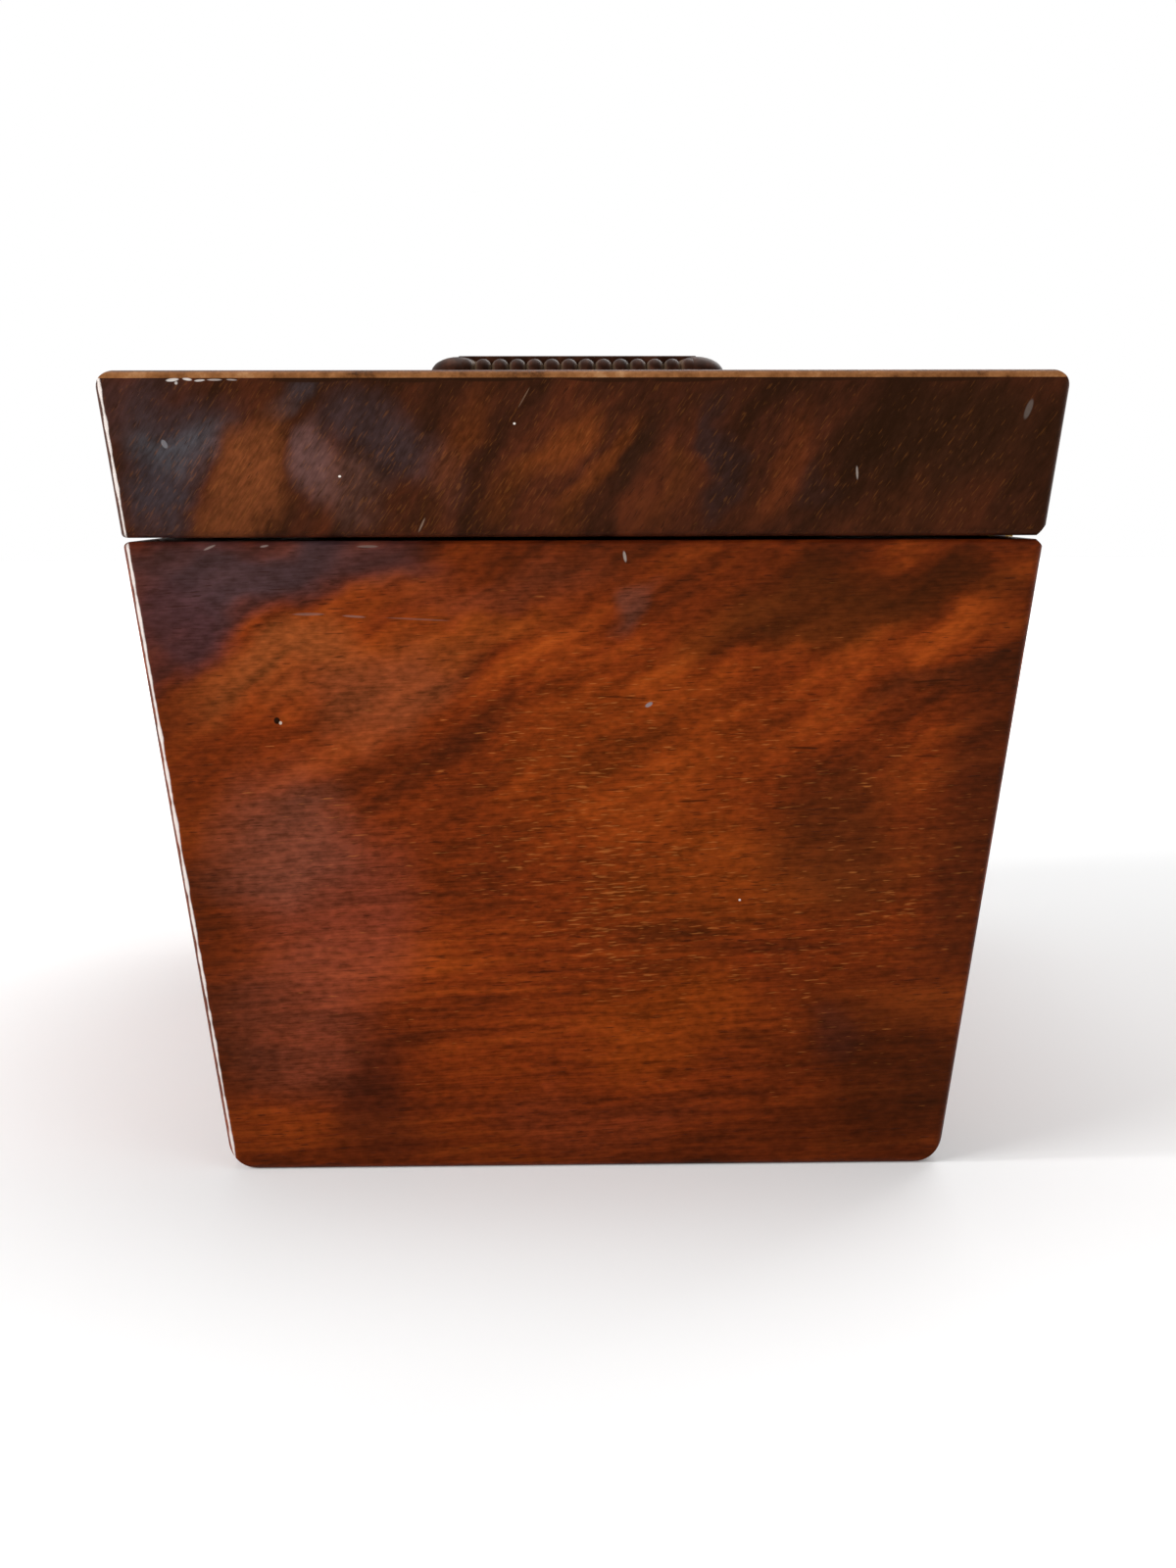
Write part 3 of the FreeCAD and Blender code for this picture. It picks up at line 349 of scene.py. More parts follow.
def arris_distance(tree, axes, along, across, low, high):
    """The distance to the nearest arris of the outer face, and the board's half width at that height."""
    half = add(tree, "Math", {0: axes["Z"], 1: LEAN, 2: HALF_FOOT[along]}, operation="MULTIPLY_ADD")
    outer = add(tree, "Math", {0: axes["Z"], 1: LEAN, 2: HALF_FOOT[across]}, operation="MULTIPLY_ADD")
    sideways = add(tree, "Math", {0: axes[along]}, operation="ABSOLUTE")
    outwards = add(tree, "Math", {0: axes[across]}, operation="ABSOLUTE")
    rim = add(tree, "Math", {0: half, 1: sideways}, operation="SUBTRACT")
    above_low = add(tree, "Math", {0: axes["Z"], 1: low}, operation="SUBTRACT")
    under_high = add(tree, "Math", {0: high, 1: axes["Z"]}, operation="SUBTRACT")
    for distance in (above_low, under_high):
        rim = add(tree, "Math", {0: rim, 1: distance}, operation="MINIMUM")
    inwards = add(tree, "Math", {0: outer, 1: outwards}, operation="SUBTRACT")
    rim = add(tree, "Math", {0: inwards, 1: INSIDE_COUNTS, 2: rim}, operation="MULTIPLY_ADD")
    return rim, half


print("the sides lean by", round(math.degrees(math.atan(LEAN)), 1), "degrees")

# %% Wear
DARKENING_REACH, DARKENING = 18 * MM, 0.36
RAGGED_MM, RAGGED = 4, 2.4 * MM
WORN_REACH, WORN_THROUGH, WORN = 0.9 * MM, 0.3 * MM, 0.7
HIGHLIGHT_AT, HIGHLIGHT_EDGE, HIGHLIGHT_CORE, HIGHLIGHT_RAGGED = 0.8 * MM, 0.42 * MM, 0.2 * MM, 0.35


def worn(tree, colour, board, rim, from_front, arris_highlight):
    """Darker towards the arrises, bare wood on them, and a painted highlight along the front one."""
    darkening = add(tree, "MapRange", {
        "Value": rim, "From Min": DARKENING_REACH, "From Max": 0.0, "To Max": DARKENING,
    }, interpolation_type="SMOOTHSTEP")
    colour = add(tree, "Mix", {0: darkening, 6: colour, 7: linear("#1c0c07")}, output=2, data_type="RGBA")
    ragged = add(tree, "TexNoise", {"Vector": board, "Scale": 1 / (RAGGED_MM * MM), "Detail": 4.0})
    ragged = add(tree, "Math", {0: ragged, 1: RAGGED, 2: -WORN_REACH}, operation="MULTIPLY_ADD")
    bare = add(tree, "Math", {0: rim, 1: ragged}, operation="ADD")
    bare = add(tree, "MapRange", {
        "Value": bare, "From Min": WORN_REACH, "From Max": WORN_THROUGH, "To Max": WORN,
    })
    colour = add(tree, "Mix", {0: bare, 6: colour, 7: linear("#8a5230")}, output=2, data_type="RGBA")
    # Painted highlight: a pale broken line along the front arris, where the lamp on the left glints.
    line = add(tree, "Math", {0: from_front, 1: HIGHLIGHT_AT}, operation="SUBTRACT")
    line = add(tree, "Math", {0: line}, operation="ABSOLUTE")
    line = add(tree, "Math", {0: ragged, 1: HIGHLIGHT_RAGGED, 2: line}, operation="MULTIPLY_ADD")
    line = add(tree, "MapRange", {
        "Value": line, "From Min": HIGHLIGHT_EDGE, "From Max": HIGHLIGHT_CORE, "To Max": arris_highlight,
    })
    colour = add(tree, "Mix", {0: line, 6: colour, 7: linear("#dcd3cd")}, output=2, data_type="RGBA")
    return colour, bare


print("grime reaches", DARKENING_REACH / MM, "mm from the arrises")

# %% [markdown]
# ### Polish
# Old shellac has a soft gloss that is uneven over some centimetres and duller on bare wood. Under it the
# fibres and pores are still felt as a faint relief.

# %% Polish
GLOSS_MM, SMOOTHEST, DULLEST, BARE_DULLER = 18, 0.22, 0.42, 0.3
UNEVEN_MM, FIBRE_RELIEF, PORE_RELIEF, MOTTLE_RELIEF = 7, 0.12, -0.3, 0.5
RELIEF, RELIEF_DEEP = 0.5, 0.25 * MM


def polish(tree, shader, board, bare, fibre, mottle, pores):
    """The gloss and the relief of old shellac."""
    gloss = add(tree, "TexNoise", {"Vector": board, "Scale": 1 / (GLOSS_MM * MM), "Detail": 4.0})
    gloss = add(tree, "MapRange", {"Value": gloss, "To Min": SMOOTHEST, "To Max": DULLEST})
    gloss = add(tree, "Math", {0: bare, 1: BARE_DULLER, 2: gloss}, operation="MULTIPLY_ADD")
    tree.links.new(gloss, shader.inputs["Roughness"])
    shader.inputs["Specular IOR Level"].default_value = 0.15
    shader.inputs["Specular Tint"].default_value = linear("#ffa868")
    relief = add(tree, "TexNoise", {"Vector": board, "Scale": 1 / (UNEVEN_MM * MM), "Detail": 2.0})
    for layer, share in ((fibre, FIBRE_RELIEF), (pores, PORE_RELIEF), (mottle, MOTTLE_RELIEF)):
        relief = add(tree, "Math", {0: layer, 1: share, 2: relief}, operation="MULTIPLY_ADD")
    bump = add(tree, "Bump", {"Height": relief, "Strength": RELIEF, "Distance": RELIEF_DEEP})
    tree.links.new(bump, shader.inputs["Normal"])


print("polish of roughness", SMOOTHEST, "to", DULLEST)

# %% [markdown]
# ### One board
# The layers go on in the order in which the wood got them: figure and clouds, fibres, pores and flecks, wear,
# marks and polish. One function does it for every board, with the grain along it, and a board may have clouds
# and marks of its own.

# %% Mahogany
CLOUD_SOFTNESS, MARK_SOFTNESS = 0.75, 0.35
FIBRE_MM, MOTTLE_MM = (5, 0.28), (1.8, 0.9)
FIBRE_DEPTH, MOTTLE_DEPTH = 0.5, 0.8
DEPTH_LOW, DEPTH_HIGH = 0.9, 1.4
DARKEST, LIGHTEST = 0.5, 1.5
PLAIN = {"patches": (), "marks": (), "arris_highlight": 0.0, "crowd": None}


def mahogany(name, along, low, high, slants, stops, figure_mm, fibre_slant=3, fleck=0.4, own=PLAIN):
    """Polished mahogany with its grain along X or Y, darkened and worn towards its edges.

    A board's own clouds, marks, painted highlight on the front arris and crowd of flecks are given in own.
    """
    material, tree, shader = finish(name)
    axes = add(tree, "SeparateXYZ", {0: add(tree, "TexCoord", output="Object")}).node.outputs
    across = "Y" if along == "X" else "X"
    board = add(tree, "CombineXYZ", {0: axes[along], 1: axes["Z"], 2: axes[across]})
    calm, gentle, loose = drifted(tree, board)
    straight = add(tree, "Mapping", {"Vector": board, "Rotation": (0, 0, -math.radians(fibre_slant))})
    tone = figure(tree, axes["Z"], calm, gentle, slants, figure_mm)
    fibre = grain(tree, straight, *FIBRE_MM, 3.0)
    mottle = grain(tree, straight, *MOTTLE_MM, 4.0)
    colour = add(tree, "ValToRGB", {"Fac": tone}, stops=stops)
    colour = spots(tree, colour, loose, own["patches"], CLOUD_SOFTNESS)
    # Streaks, mottle and fibres run on through the clouds, lighter and darker
    depth = add(tree, "Math", {0: fibre, 1: FIBRE_DEPTH, 2: tone}, operation="MULTIPLY_ADD")
    depth = add(tree, "Math", {0: mottle, 1: MOTTLE_DEPTH, 2: depth}, operation="MULTIPLY_ADD")
    depth = add(tree, "MapRange", {
        "Value": depth, "From Min": DEPTH_LOW, "From Max": DEPTH_HIGH, "To Min": DARKEST, "To Max": LIGHTEST,
    })
    colour = add(tree, "Mix", {
        0: 1.0, 6: colour, 7: depth,
    }, output=2, data_type="RGBA", blend_type="MULTIPLY")
    colour, pores = pores_and_flecks(tree, colour, board, straight, loose, fleck, own["crowd"])
    rim, half = arris_distance(tree, axes, along, across, low, high)
    from_front = add(tree, "Math", {0: half, 1: axes[along]}, operation="ADD")
    colour, bare = worn(tree, colour, board, rim, from_front, own["arris_highlight"])
    colour = spots(tree, colour, board, own["marks"], MARK_SOFTNESS)
    tree.links.new(colour, shader.inputs["Base Color"])
    polish(tree, shader, board, bare, fibre, mottle, pores)
    return material


print("fibres of", FIBRE_MM, "mm and mottle of", MOTTLE_MM, "mm")

# %% [markdown]
# ### The photographed end
# Its clouds were looked up on the photograph and written down as ovals: colour, middle, half sizes, tilt and
# strength, with the measures in millimetres on the board. The lid's blue-grey clouds at the upper left are
# a painted reflection. Small marks follow: a worm hole, chips, dots, scratches, fine cracks, the dark line
# under the veneer, and a painted highlight of pale dashes along the top of the lid near its left end.

# %% Clouds and marks of the base's end
BASE_STOPS = [(0.0, "#1c0804"), (0.34, "#4a1b0b"), (0.5, "#6f290c"), (0.66, "#863910"), (1.0, "#a25822")]
BASE_PATCHES = [
    ("#84390c", (8, 72), (34, 22), 12, 0.3),
    ("#823b0d", (22, 52), (30, 14), 10, 0.35),
    ("#8c4a22", (-50, 90), (24, 8), 16, 0.6),
    ("#7f3c14", (-18, 96), (20, 5), 10, 0.5),
    ("#3d2f34", (-56, 106.5), (38, 11), 6, 0.95),
    ("#402a30", (-69, 97), (14, 11), 20, 0.85),
    ("#7c3820", (-12, 104), (28, 6), 8, 0.5),
    ("#8a4828", (-34, 86), (22, 9), 24, 0.5),
    ("#3a1a08", (40, 97), (38, 9), 16, 0.75),
    ("#3a1707", (54, 104), (30, 7), 4, 0.6),
    ("#35190d", (58, 84), (22, 4), 16, 0.5),
    ("#664338", (9, 101), (10, 3.5), 36, 0.45),
    ("#773626", (-42, 48), (22, 26), 0, 0.6),
    ("#7f4a38", (-50, 60), (18, 20), 10, 0.45),
    ("#7a3c2a", (-50, 26), (22, 20), 0, 0.5),
    ("#3c1909", (46, 58), (20, 20), 20, 0.75),
    ("#3a140c", (-36, 14), (12, 20), -20, 0.7),
    ("#2e1006", (50, 18), (24, 28), 20, 0.75),
    ("#3c1d18", (45, 26), (9, 6), 0, 0.35),
    ("#7c3219", (0, 9), (28, 9), 0, 0.5),
    ("#84390a", (14, 30), (24, 14), 0, 0.4),
    ("#3b160b", (66, 60), (10, 40), -8, 0.6),
]
BASE_MARKS = [
    ("#0d0504", (-51.8, 79.7), (0.6, 0.7), 0, 1.0),
    ("#c9b7a4", (-51.2, 79.3), (0.3, 0.35), 0, 0.9),
    ("#e8ddd0", (26.3, 48.1), (0.25, 0.22), 0, 0.9),
    ("#a3978e", (6.5, 107.0), (0.3, 1.1), 10, 0.7),
    ("#7a6258", (-46, 97.6), (3, 0.28), 0, 0.5),
    ("#80695f", (-38.5, 97.2), (2.2, 0.22), -4, 0.5),
    ("#73594d", (-28, 96.7), (6, 0.18), -3, 0.4),
    ("#8d7d76", (-62, 108.7), (1.2, 0.22), 24, 0.6),
    ("#8d7d76", (-53, 108.9), (0.8, 0.2), 10, 0.6),
    ("#7d6c64", (-36, 108.8), (2.0, 0.25), 0, 0.5),
    ("#8d8a8c", (10.6, 82.1), (0.8, 0.4), 30, 0.7),
    ("#1d0a05", (18.3, 65.5), (3.2, 0.22), 3, 0.7),
    ("#1d0a05", (36.5, 74.6), (3.4, 0.2), -2, 0.6),
    ("#1d0a05", (57.8, 73.0), (3.0, 0.18), 0, 0.5),
    ("#1d0a05", (9.8, 58.4), (3.4, 0.2), -2, 0.6),
    ("#1d0a05", (6.0, 83.4), (5.0, 0.2), -3, 0.5),
    ("#1d0a05", (58.9, 86.0), (4.0, 0.22), 4, 0.6),
]
print(len(BASE_PATCHES), "clouds and", len(BASE_MARKS), "marks")

# %% Clouds and marks of the lid's end
LID_STOPS = [(0.0, "#120806"), (0.34, "#22100b"), (0.5, "#391a10"), (0.66, "#4c2111"), (1.0, "#6a361c")]
LID_PATCHES = [
    # The first four, blue-grey at the upper left, are a painted reflection in the polish.
    ("#2f2d33", (-70, 120), (9, 13), 0, 0.95),
    ("#414349", (-66, 128), (12, 8), 0, 0.9),
    ("#33272a", (-68, 133), (16, 6), 0, 0.75),
    ("#3d393e", (-46, 132), (8, 4), 20, 0.7),
    ("#4a3230", (-26, 124), (8, 12), 60, 0.5),
    ("#6e3a1e", (-56, 120), (18, 7), 58, 0.85),
    ("#6c504e", (-45, 120), (9, 6), 55, 0.55),
    ("#6b4a42", (-40, 116), (10, 5), 20, 0.4),
    ("#33292c", (-34, 126), (10, 10), 60, 0.85),
    ("#6a3213", (-20, 126), (16, 5), 58, 0.5),
    ("#6c3312", (-6, 124), (14, 6), 50, 0.6),
    ("#6c3313", (3, 120), (15, 4), 62, 0.65),
    ("#1f100b", (9, 121), (14, 4.5), 70, 0.9),
    ("#54280f", (14.5, 118), (10, 3.5), 75, 0.5),
    ("#221819", (21, 121), (14, 3.4), 78, 0.85),
    ("#5c2911", (32, 122), (14, 5), 60, 0.5),
    ("#2a1a18", (38, 117), (5, 5), 0, 0.65),
    ("#1f1009", (62, 124), (28, 18), 10, 0.85),
    ("#4c2412", (50, 115), (14, 4), 30, 0.4),
]
LID_MARKS = [
    ("#efe6dc", (-40.3, 120.3), (0.28, 0.22), 0, 0.95),
    ("#efe6dc", (-11.6, 128.8), (0.25, 0.22), 0, 0.95),
    ("#a89c92", (44.8, 120.7), (0.22, 1.3), 4, 0.6),
    ("#8b8b90", (-68.7, 125.6), (0.5, 0.9), 30, 0.5),
    ("#6e6660", (72.8, 131.0), (0.6, 2.0), -20, 0.5),
    ("#8c7564", (-27, 112.3), (0.2, 1.5), -25, 0.5),
    ("#7d6350", (-10, 133), (0.14, 2.2), -30, 0.45),
    # Painted highlight: pale dashes along the top arris near the left end.
    ("#d8d0ca", (-67.0, 135.9), (1.2, 0.3), 6, 0.8),
    ("#d8d0ca", (-66.4, 135.4), (0.3, 0.3), 40, 0.6),
    ("#d8d0ca", (-64.6, 136.0), (0.9, 0.25), -8, 0.8),
    ("#d8d0ca", (-62.6, 135.8), (1.0, 0.2), 4, 0.7),
    ("#b5a9a2", (-60.2, 135.9), (1.4, 0.18), 0, 0.7),
    ("#b5a9a2", (-57.4, 135.9), (1.0, 0.15), -3, 0.6),
    ("#1a0c07", (-44, 136.1), (9, 0.75), 1, 0.9),
    ("#1a0c07", (-30, 136.0), (8, 0.65), -2, 0.8),
    ("#1a0c07", (-14, 136.2), (11, 0.75), 1, 0.9),
    ("#1a0c07", (3, 136.0), (8, 0.65), -1, 0.8),
    ("#1a0c07", (18, 136.1), (9, 0.75), 2, 0.9),
    ("#1a0c07", (36, 136.2), (12, 0.65), -1, 0.8),
    ("#1a0c07", (58, 136.1), (12, 0.75), 1, 0.9),
]
print(len(LID_PATCHES), "clouds and", len(LID_MARKS), "marks")

# %% Dress the boards
# Both ends get a painted highlight, a pale line along the front arris.
BASE_OWN = {"patches": BASE_PATCHES, "marks": BASE_MARKS, "arris_highlight": 0.85, "crowd": ((14, 56), (60, 34))}
LID_OWN = {"patches": LID_PATCHES, "marks": LID_MARKS, "arris_highlight": 0.85, "crowd": None}
base_end = mahogany("mahogany_base_end", "Y", 0.0, SEAM_LOW, (3, 30), BASE_STOPS, (24, 4.5), own=BASE_OWN)
base_side = mahogany("mahogany_base_side", "X", 0.0, SEAM_LOW, (3, 14), BASE_STOPS, (32, 5))
lid_end = mahogany(
    "mahogany_lid_end", "Y", SEAM_HIGH, BOX_HEIGHT, (58, 58), LID_STOPS, (18, 4), 56, 0.12, LID_OWN,
)
lid_side = mahogany("mahogany_lid_side", "X", SEAM_HIGH, BOX_HEIGHT, (40, 40), LID_STOPS, (20, 4), 40, 0.12)
dress(base_end, "base_right_end", "base_left_end")
dress(base_side, "base_front_board", "base_back_board")
dress(lid_end, "lid_right_end", "lid_left_end")
dress(lid_side, "lid_front_rail", "lid_back_rail")
print("boards dressed")

# %% [markdown]
# ## Plain woods
# The top is a thin sheet of veneer. Its polished face has the same colours as the lid's sides, and its sawn
# edge shows as a paler strip along the top of the lid. The board under it, the bottom board and the thin
# liners of the well were never bodied up, so they stay lighter, browner and duller.

# %% Veneer
FACE_ENDS, EDGE_STARTS = BOX_HEIGHT - 0.1 * MM, BOX_HEIGHT - 0.4 * MM
NO_ARRIS = 1.0
SAWN_MM = 7
top_wood = mahogany("mahogany_veneer", "X", -NO_ARRIS, NO_ARRIS, (8, 8), LID_STOPS, (64, 5), fleck=0.2)
tree = top_wood.node_tree
shader = tree.nodes["Principled BSDF"]
face_colour = shader.inputs["Base Color"].links[0].from_socket
place = add(tree, "TexCoord", output="Object")
height = add(tree, "SeparateXYZ", {0: place}, output="Z")
broken = add(tree, "TexNoise", {
    "Vector": place, "Scale": 1 / (SAWN_MM * MM), "Detail": 6.0, "Roughness": 0.75,
})
sawn = add(tree, "ValToRGB", {"Fac": broken}, stops=[
    (0.3, "#2c170c"), (0.42, "#704626"), (0.56, "#8e5e38"), (0.72, "#b0845c"),
])
edge = add(tree, "MapRange", {"Value": height, "From Min": FACE_ENDS, "From Max": EDGE_STARTS})
colour = add(tree, "Mix", {0: edge, 6: face_colour, 7: sawn}, output=2, data_type="RGBA")
tree.links.new(colour, shader.inputs["Base Color"])
dress(top_wood, "lid_top_veneer")
print("veneer dressed")

# %% Unpolished boards
PLANED_LONG_MM, PLANED_WIDE_MM = 40, 1.6


def plain_wood(name, along, stops, dullness):
    """Planed wood with straight fibres, oiled or waxed only."""
    material, tree, shader = finish(name)
    long, short = 1 / (PLANED_LONG_MM * MM), 1 / (PLANED_WIDE_MM * MM)
    sized = (long, short, short) if along == "X" else (short, long, short)
    place = add(tree, "TexCoord", output="Object")
    fibres = add(tree, "VectorMath", {0: place, 1: sized}, operation="MULTIPLY")
    tone = add(tree, "TexNoise", {"Vector": fibres, "Scale": 1.0, "Detail": 4.0})
    colour = add(tree, "ValToRGB", {"Fac": tone}, stops=stops)
    tree.links.new(colour, shader.inputs["Base Color"])
    shader.inputs["Roughness"].default_value = dullness
    shader.inputs["Specular IOR Level"].default_value = 0.2
    bump = add(tree, "Bump", {"Height": tone, "Strength": 0.25, "Distance": 0.2 * MM})
    tree.links.new(bump, shader.inputs["Normal"])
    return material


CORE_STOPS = [(0.25, "#5a3018"), (0.5, "#74421f"), (0.75, "#8a5a30")]
LINER_STOPS = [(0.25, "#4a2412"), (0.5, "#5f3117"), (0.75, "#754424")]
dress(plain_wood("mahogany_planed", "X", CORE_STOPS, 0.6), "base_bottom_board", "lid_top_core")
dress(plain_wood("mahogany_liner_long", "X", LINER_STOPS, 0.45), "liner_front", "liner_back")
dress(plain_wood("mahogany_liner_short", "Y", LINER_STOPS, 0.45), "liner_left", "liner_right")
print("plain boards dressed")

# %% [markdown]
# ## Lining paper, brass and steel
# The well and the lid were lined with soft paper, faded and a little foxed. The hinges, the lock and the key
# plate are cast and rolled brass, rubbed bright and gone brown in places. Pins and the spring are blued
# steel. Noise of some centimetres fades the paper, and noise of some millimetres stains the metal.

# %% Paper
FADE_MM, TOOTH_MM = 30, 0.6
paper, tree, shader = finish("lining_paper")
place = add(tree, "TexCoord", output="Object")
faded = add(tree, "TexNoise", {"Vector": place, "Scale": 1 / (FADE_MM * MM), "Detail": 6.0})
tooth = add(tree, "TexNoise", {"Vector": place, "Scale": 1 / (TOOTH_MM * MM), "Detail": 2.0})
colour = add(tree, "ValToRGB", {"Fac": faded}, stops=[
    (0.3, "#57202a"), (0.55, "#6e2f38"), (0.8, "#80454a"),
])
tree.links.new(colour, shader.inputs["Base Color"])
shader.inputs["Roughness"].default_value = 0.9
bump = add(tree, "Bump", {"Height": tooth, "Strength": 0.3, "Distance": 0.1 * MM})
tree.links.new(bump, shader.inputs["Normal"])
dress(paper, "floor_lining", "lid_lining")
print("paper on", "floor_lining", "lid_lining")

# %% Metals
BROWN_AT, BRIGHT_AT = 0.35, 0.65
STAIN_MM = 5


def metal(name, bright, brown, smooth, rough):
    """Old rubbed metal: brighter where it is clean, browner and duller where it isn't."""
    material, tree, shader = finish(name)
    place = add(tree, "TexCoord", output="Object")
    stain = add(tree, "TexNoise", {"Vector": place, "Scale": 1 / (STAIN_MM * MM), "Detail": 5.0})
    colour = add(tree, "ValToRGB", {"Fac": stain}, stops=[(BROWN_AT, brown), (BRIGHT_AT, bright)])
    tree.links.new(colour, shader.inputs["Base Color"])
    shader.inputs["Metallic"].default_value = 1.0
    gloss = add(tree, "MapRange", {
        "Value": stain, "From Min": BROWN_AT, "From Max": BRIGHT_AT, "To Min": rough, "To Max": smooth,
    })
    tree.links.new(gloss, shader.inputs["Roughness"])
    return material


BRASS_NODES = [
    "hinge_left_base_leaf", "hinge_left_lid_leaf", "hinge_right_base_leaf", "hinge_right_lid_leaf",
    "lock_case", "lock_back_plate", "lock_key_pin", "lock_bolt", "lock_bolt_studs",
    "link_plate", "escutcheon", "handle_screws",
]
brass = metal("old_brass", "#b89a5e", "#7a6338", 0.3, 0.5)
steel = metal("blued_steel", "#8d9094", "#5c5a58", 0.3, 0.5)
dress(brass, *BRASS_NODES)
dress(steel, "hinge_left_pin", "hinge_right_pin", "lock_spring")
print(len(BRASS_NODES), "brass pieces")

# %% [markdown]
# ## The carved handle
# A low tablet of ebonised wood sits on the lid as its handle. A carver rounds its edge and then cuts it into
# gadroons, side by side like cords that stand up and bend over the edge, with a smooth lobe at each corner.
# The solid has them with few faces. Here one gadroon is drawn up from a circle and spun about the line where
# it bends, and rows of copies run round the tablet.

# %% Handle sizes
HANDLE_LOW, HANDLE_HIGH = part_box("lid_handle")
OVOLO = 5.4 * MM
PLINTH = 1.1 * MM
BEND_X = HANDLE_HIGH.x - OVOLO
BEND_Y = HANDLE_HIGH.y - OVOLO
BEND_Z = HANDLE_LOW.z + PLINTH
ACROSS, ALONG = 14, 28
PITCH = 2 * BEND_Y / ACROSS
CORD = PITCH * 0.52
BEND = 3 * MM
RISE = OVOLO - BEND
print("gadroons every", round(PITCH / MM, 2), "mm")


# %% Modelling helpers
def only(thing):
    """Makes one object the selected and active one."""
    bpy.ops.object.select_all(action="DESELECT")
    thing.select_set(True)
    bpy.context.view_layer.objects.active = thing


def unpick(thing, kind):
    """Gets a mesh ready for picking edges or faces, with none picked."""
    only(thing)
    bpy.ops.object.mode_set(mode="EDIT")
    bpy.ops.mesh.select_mode(type=kind)
    bpy.ops.mesh.select_all(action="DESELECT")
    bpy.ops.object.mode_set(mode="OBJECT")


def pick_edges(thing, test):
    """Selects the edges whose two ends pass a test, and opens the mesh for editing."""
    unpick(thing, "EDGE")
    points = thing.data.vertices
    for line in thing.data.edges:
        line.select = test(*[points[i].co for i in line.vertices])
    bpy.ops.object.mode_set(mode="EDIT")


def pick_faces(thing, test):
    """Selects the faces whose middle passes a test, and opens the mesh for editing."""
    unpick(thing, "FACE")
    for face in thing.data.polygons:
        face.select = test(face.center)
    bpy.ops.object.mode_set(mode="EDIT")


def slab(half_x, half_y, low, high):
    """A block made from a cube, with its place kept in its mesh."""
    bpy.ops.object.select_all(action="DESELECT")
    bpy.ops.mesh.primitive_cube_add(size=1, location=(0, 0, (low + high) / 2))
    bpy.context.object.scale = (2 * half_x, 2 * half_y, high - low)
    bpy.ops.object.transform_apply(location=True, rotation=False, scale=True)
    return bpy.context.object


print("modelling helpers ready")

# %% Tablet and plinth
TINY = 0.001 * MM
TABLET_ROUNDING = 0.45 * MM
tablet = slab(BEND_X, BEND_Y, HANDLE_LOW.z, HANDLE_HIGH.z)
pick_edges(tablet, lambda a, b: min(a.z, b.z) > HANDLE_HIGH.z - TINY)
bpy.ops.mesh.bevel(offset=TABLET_ROUNDING, segments=3, affect="EDGES")
bpy.ops.object.mode_set(mode="OBJECT")
plinth = slab(HANDLE_HIGH.x, HANDLE_HIGH.y, HANDLE_LOW.z, BEND_Z)
pick_edges(plinth, lambda a, b: abs(a.z - b.z) > TINY)
bpy.ops.mesh.bevel(offset=OVOLO, segments=8, affect="EDGES")
bpy.ops.object.mode_set(mode="OBJECT")
bed = slab(BEND_X + OVOLO - CORD, BEND_Y + OVOLO - CORD, HANDLE_LOW.z, BEND_Z + OVOLO - CORD)
pick_edges(bed, lambda a, b: min(a.z, b.z) > BEND_Z)
bpy.ops.mesh.bevel(offset=BEND - CORD, segments=4, affect="EDGES")
bpy.ops.object.mode_set(mode="OBJECT")
print("tablet, plinth and bed", [len(o.data.polygons) for o in (tablet, plinth, bed)])

# %% One gadroon
bpy.ops.object.select_all(action="DESELECT")
start = (OVOLO - CORD, 0, BEND_Z)
bpy.ops.mesh.primitive_circle_add(vertices=20, radius=CORD, fill_type="NGON", location=start)
gadroon = bpy.context.object
bpy.ops.object.transform_apply(location=True)
bpy.ops.object.mode_set(mode="EDIT")
bpy.ops.mesh.select_all(action="SELECT")
bpy.ops.mesh.extrude_region_move(TRANSFORM_OT_translate={"value": (0, 0, RISE)})
bpy.ops.mesh.spin(steps=8, angle=math.radians(90), center=(RISE, 0, BEND_Z + RISE), axis=(0, 1, 0))
bpy.ops.mesh.extrude_region_move(TRANSFORM_OT_translate={"value": (-RISE, 0, 0)})
bpy.ops.mesh.select_all(action="SELECT")
bpy.ops.mesh.remove_doubles(threshold=TINY)
bpy.ops.mesh.fill_holes(sides=0)
bpy.ops.mesh.normals_make_consistent(inside=False)
bpy.ops.object.mode_set(mode="OBJECT")
print("gadroon", len(gadroon.data.polygons), "faces")


# %% Rows of gadroons
def gadroon_row(turn, edge, count):
    """Copies the gadroon along one side of the tablet."""
    only(gadroon)
    bpy.ops.object.duplicate()
    row = bpy.context.object
    array = row.modifiers.new("row", "ARRAY")
    array.count = count
    array.use_relative_offset = False
    array.use_constant_offset = True
    array.constant_offset_displace = (0, PITCH, 0)
    bpy.ops.object.modifier_apply(modifier="row")
    row.location = (edge, -(count - 1) * PITCH / 2, 0)
    bpy.ops.object.transform_apply(location=True)
    row.rotation_euler.z = math.radians(turn)
    bpy.ops.object.transform_apply(rotation=True)
    return row


SIDES = [(0, BEND_X, ACROSS), (90, BEND_Y, ALONG), (180, BEND_X, ACROSS), (270, BEND_Y, ALONG)]
rows = [gadroon_row(*side) for side in SIDES]
bpy.data.objects.remove(gadroon)
print(len(rows), "rows")

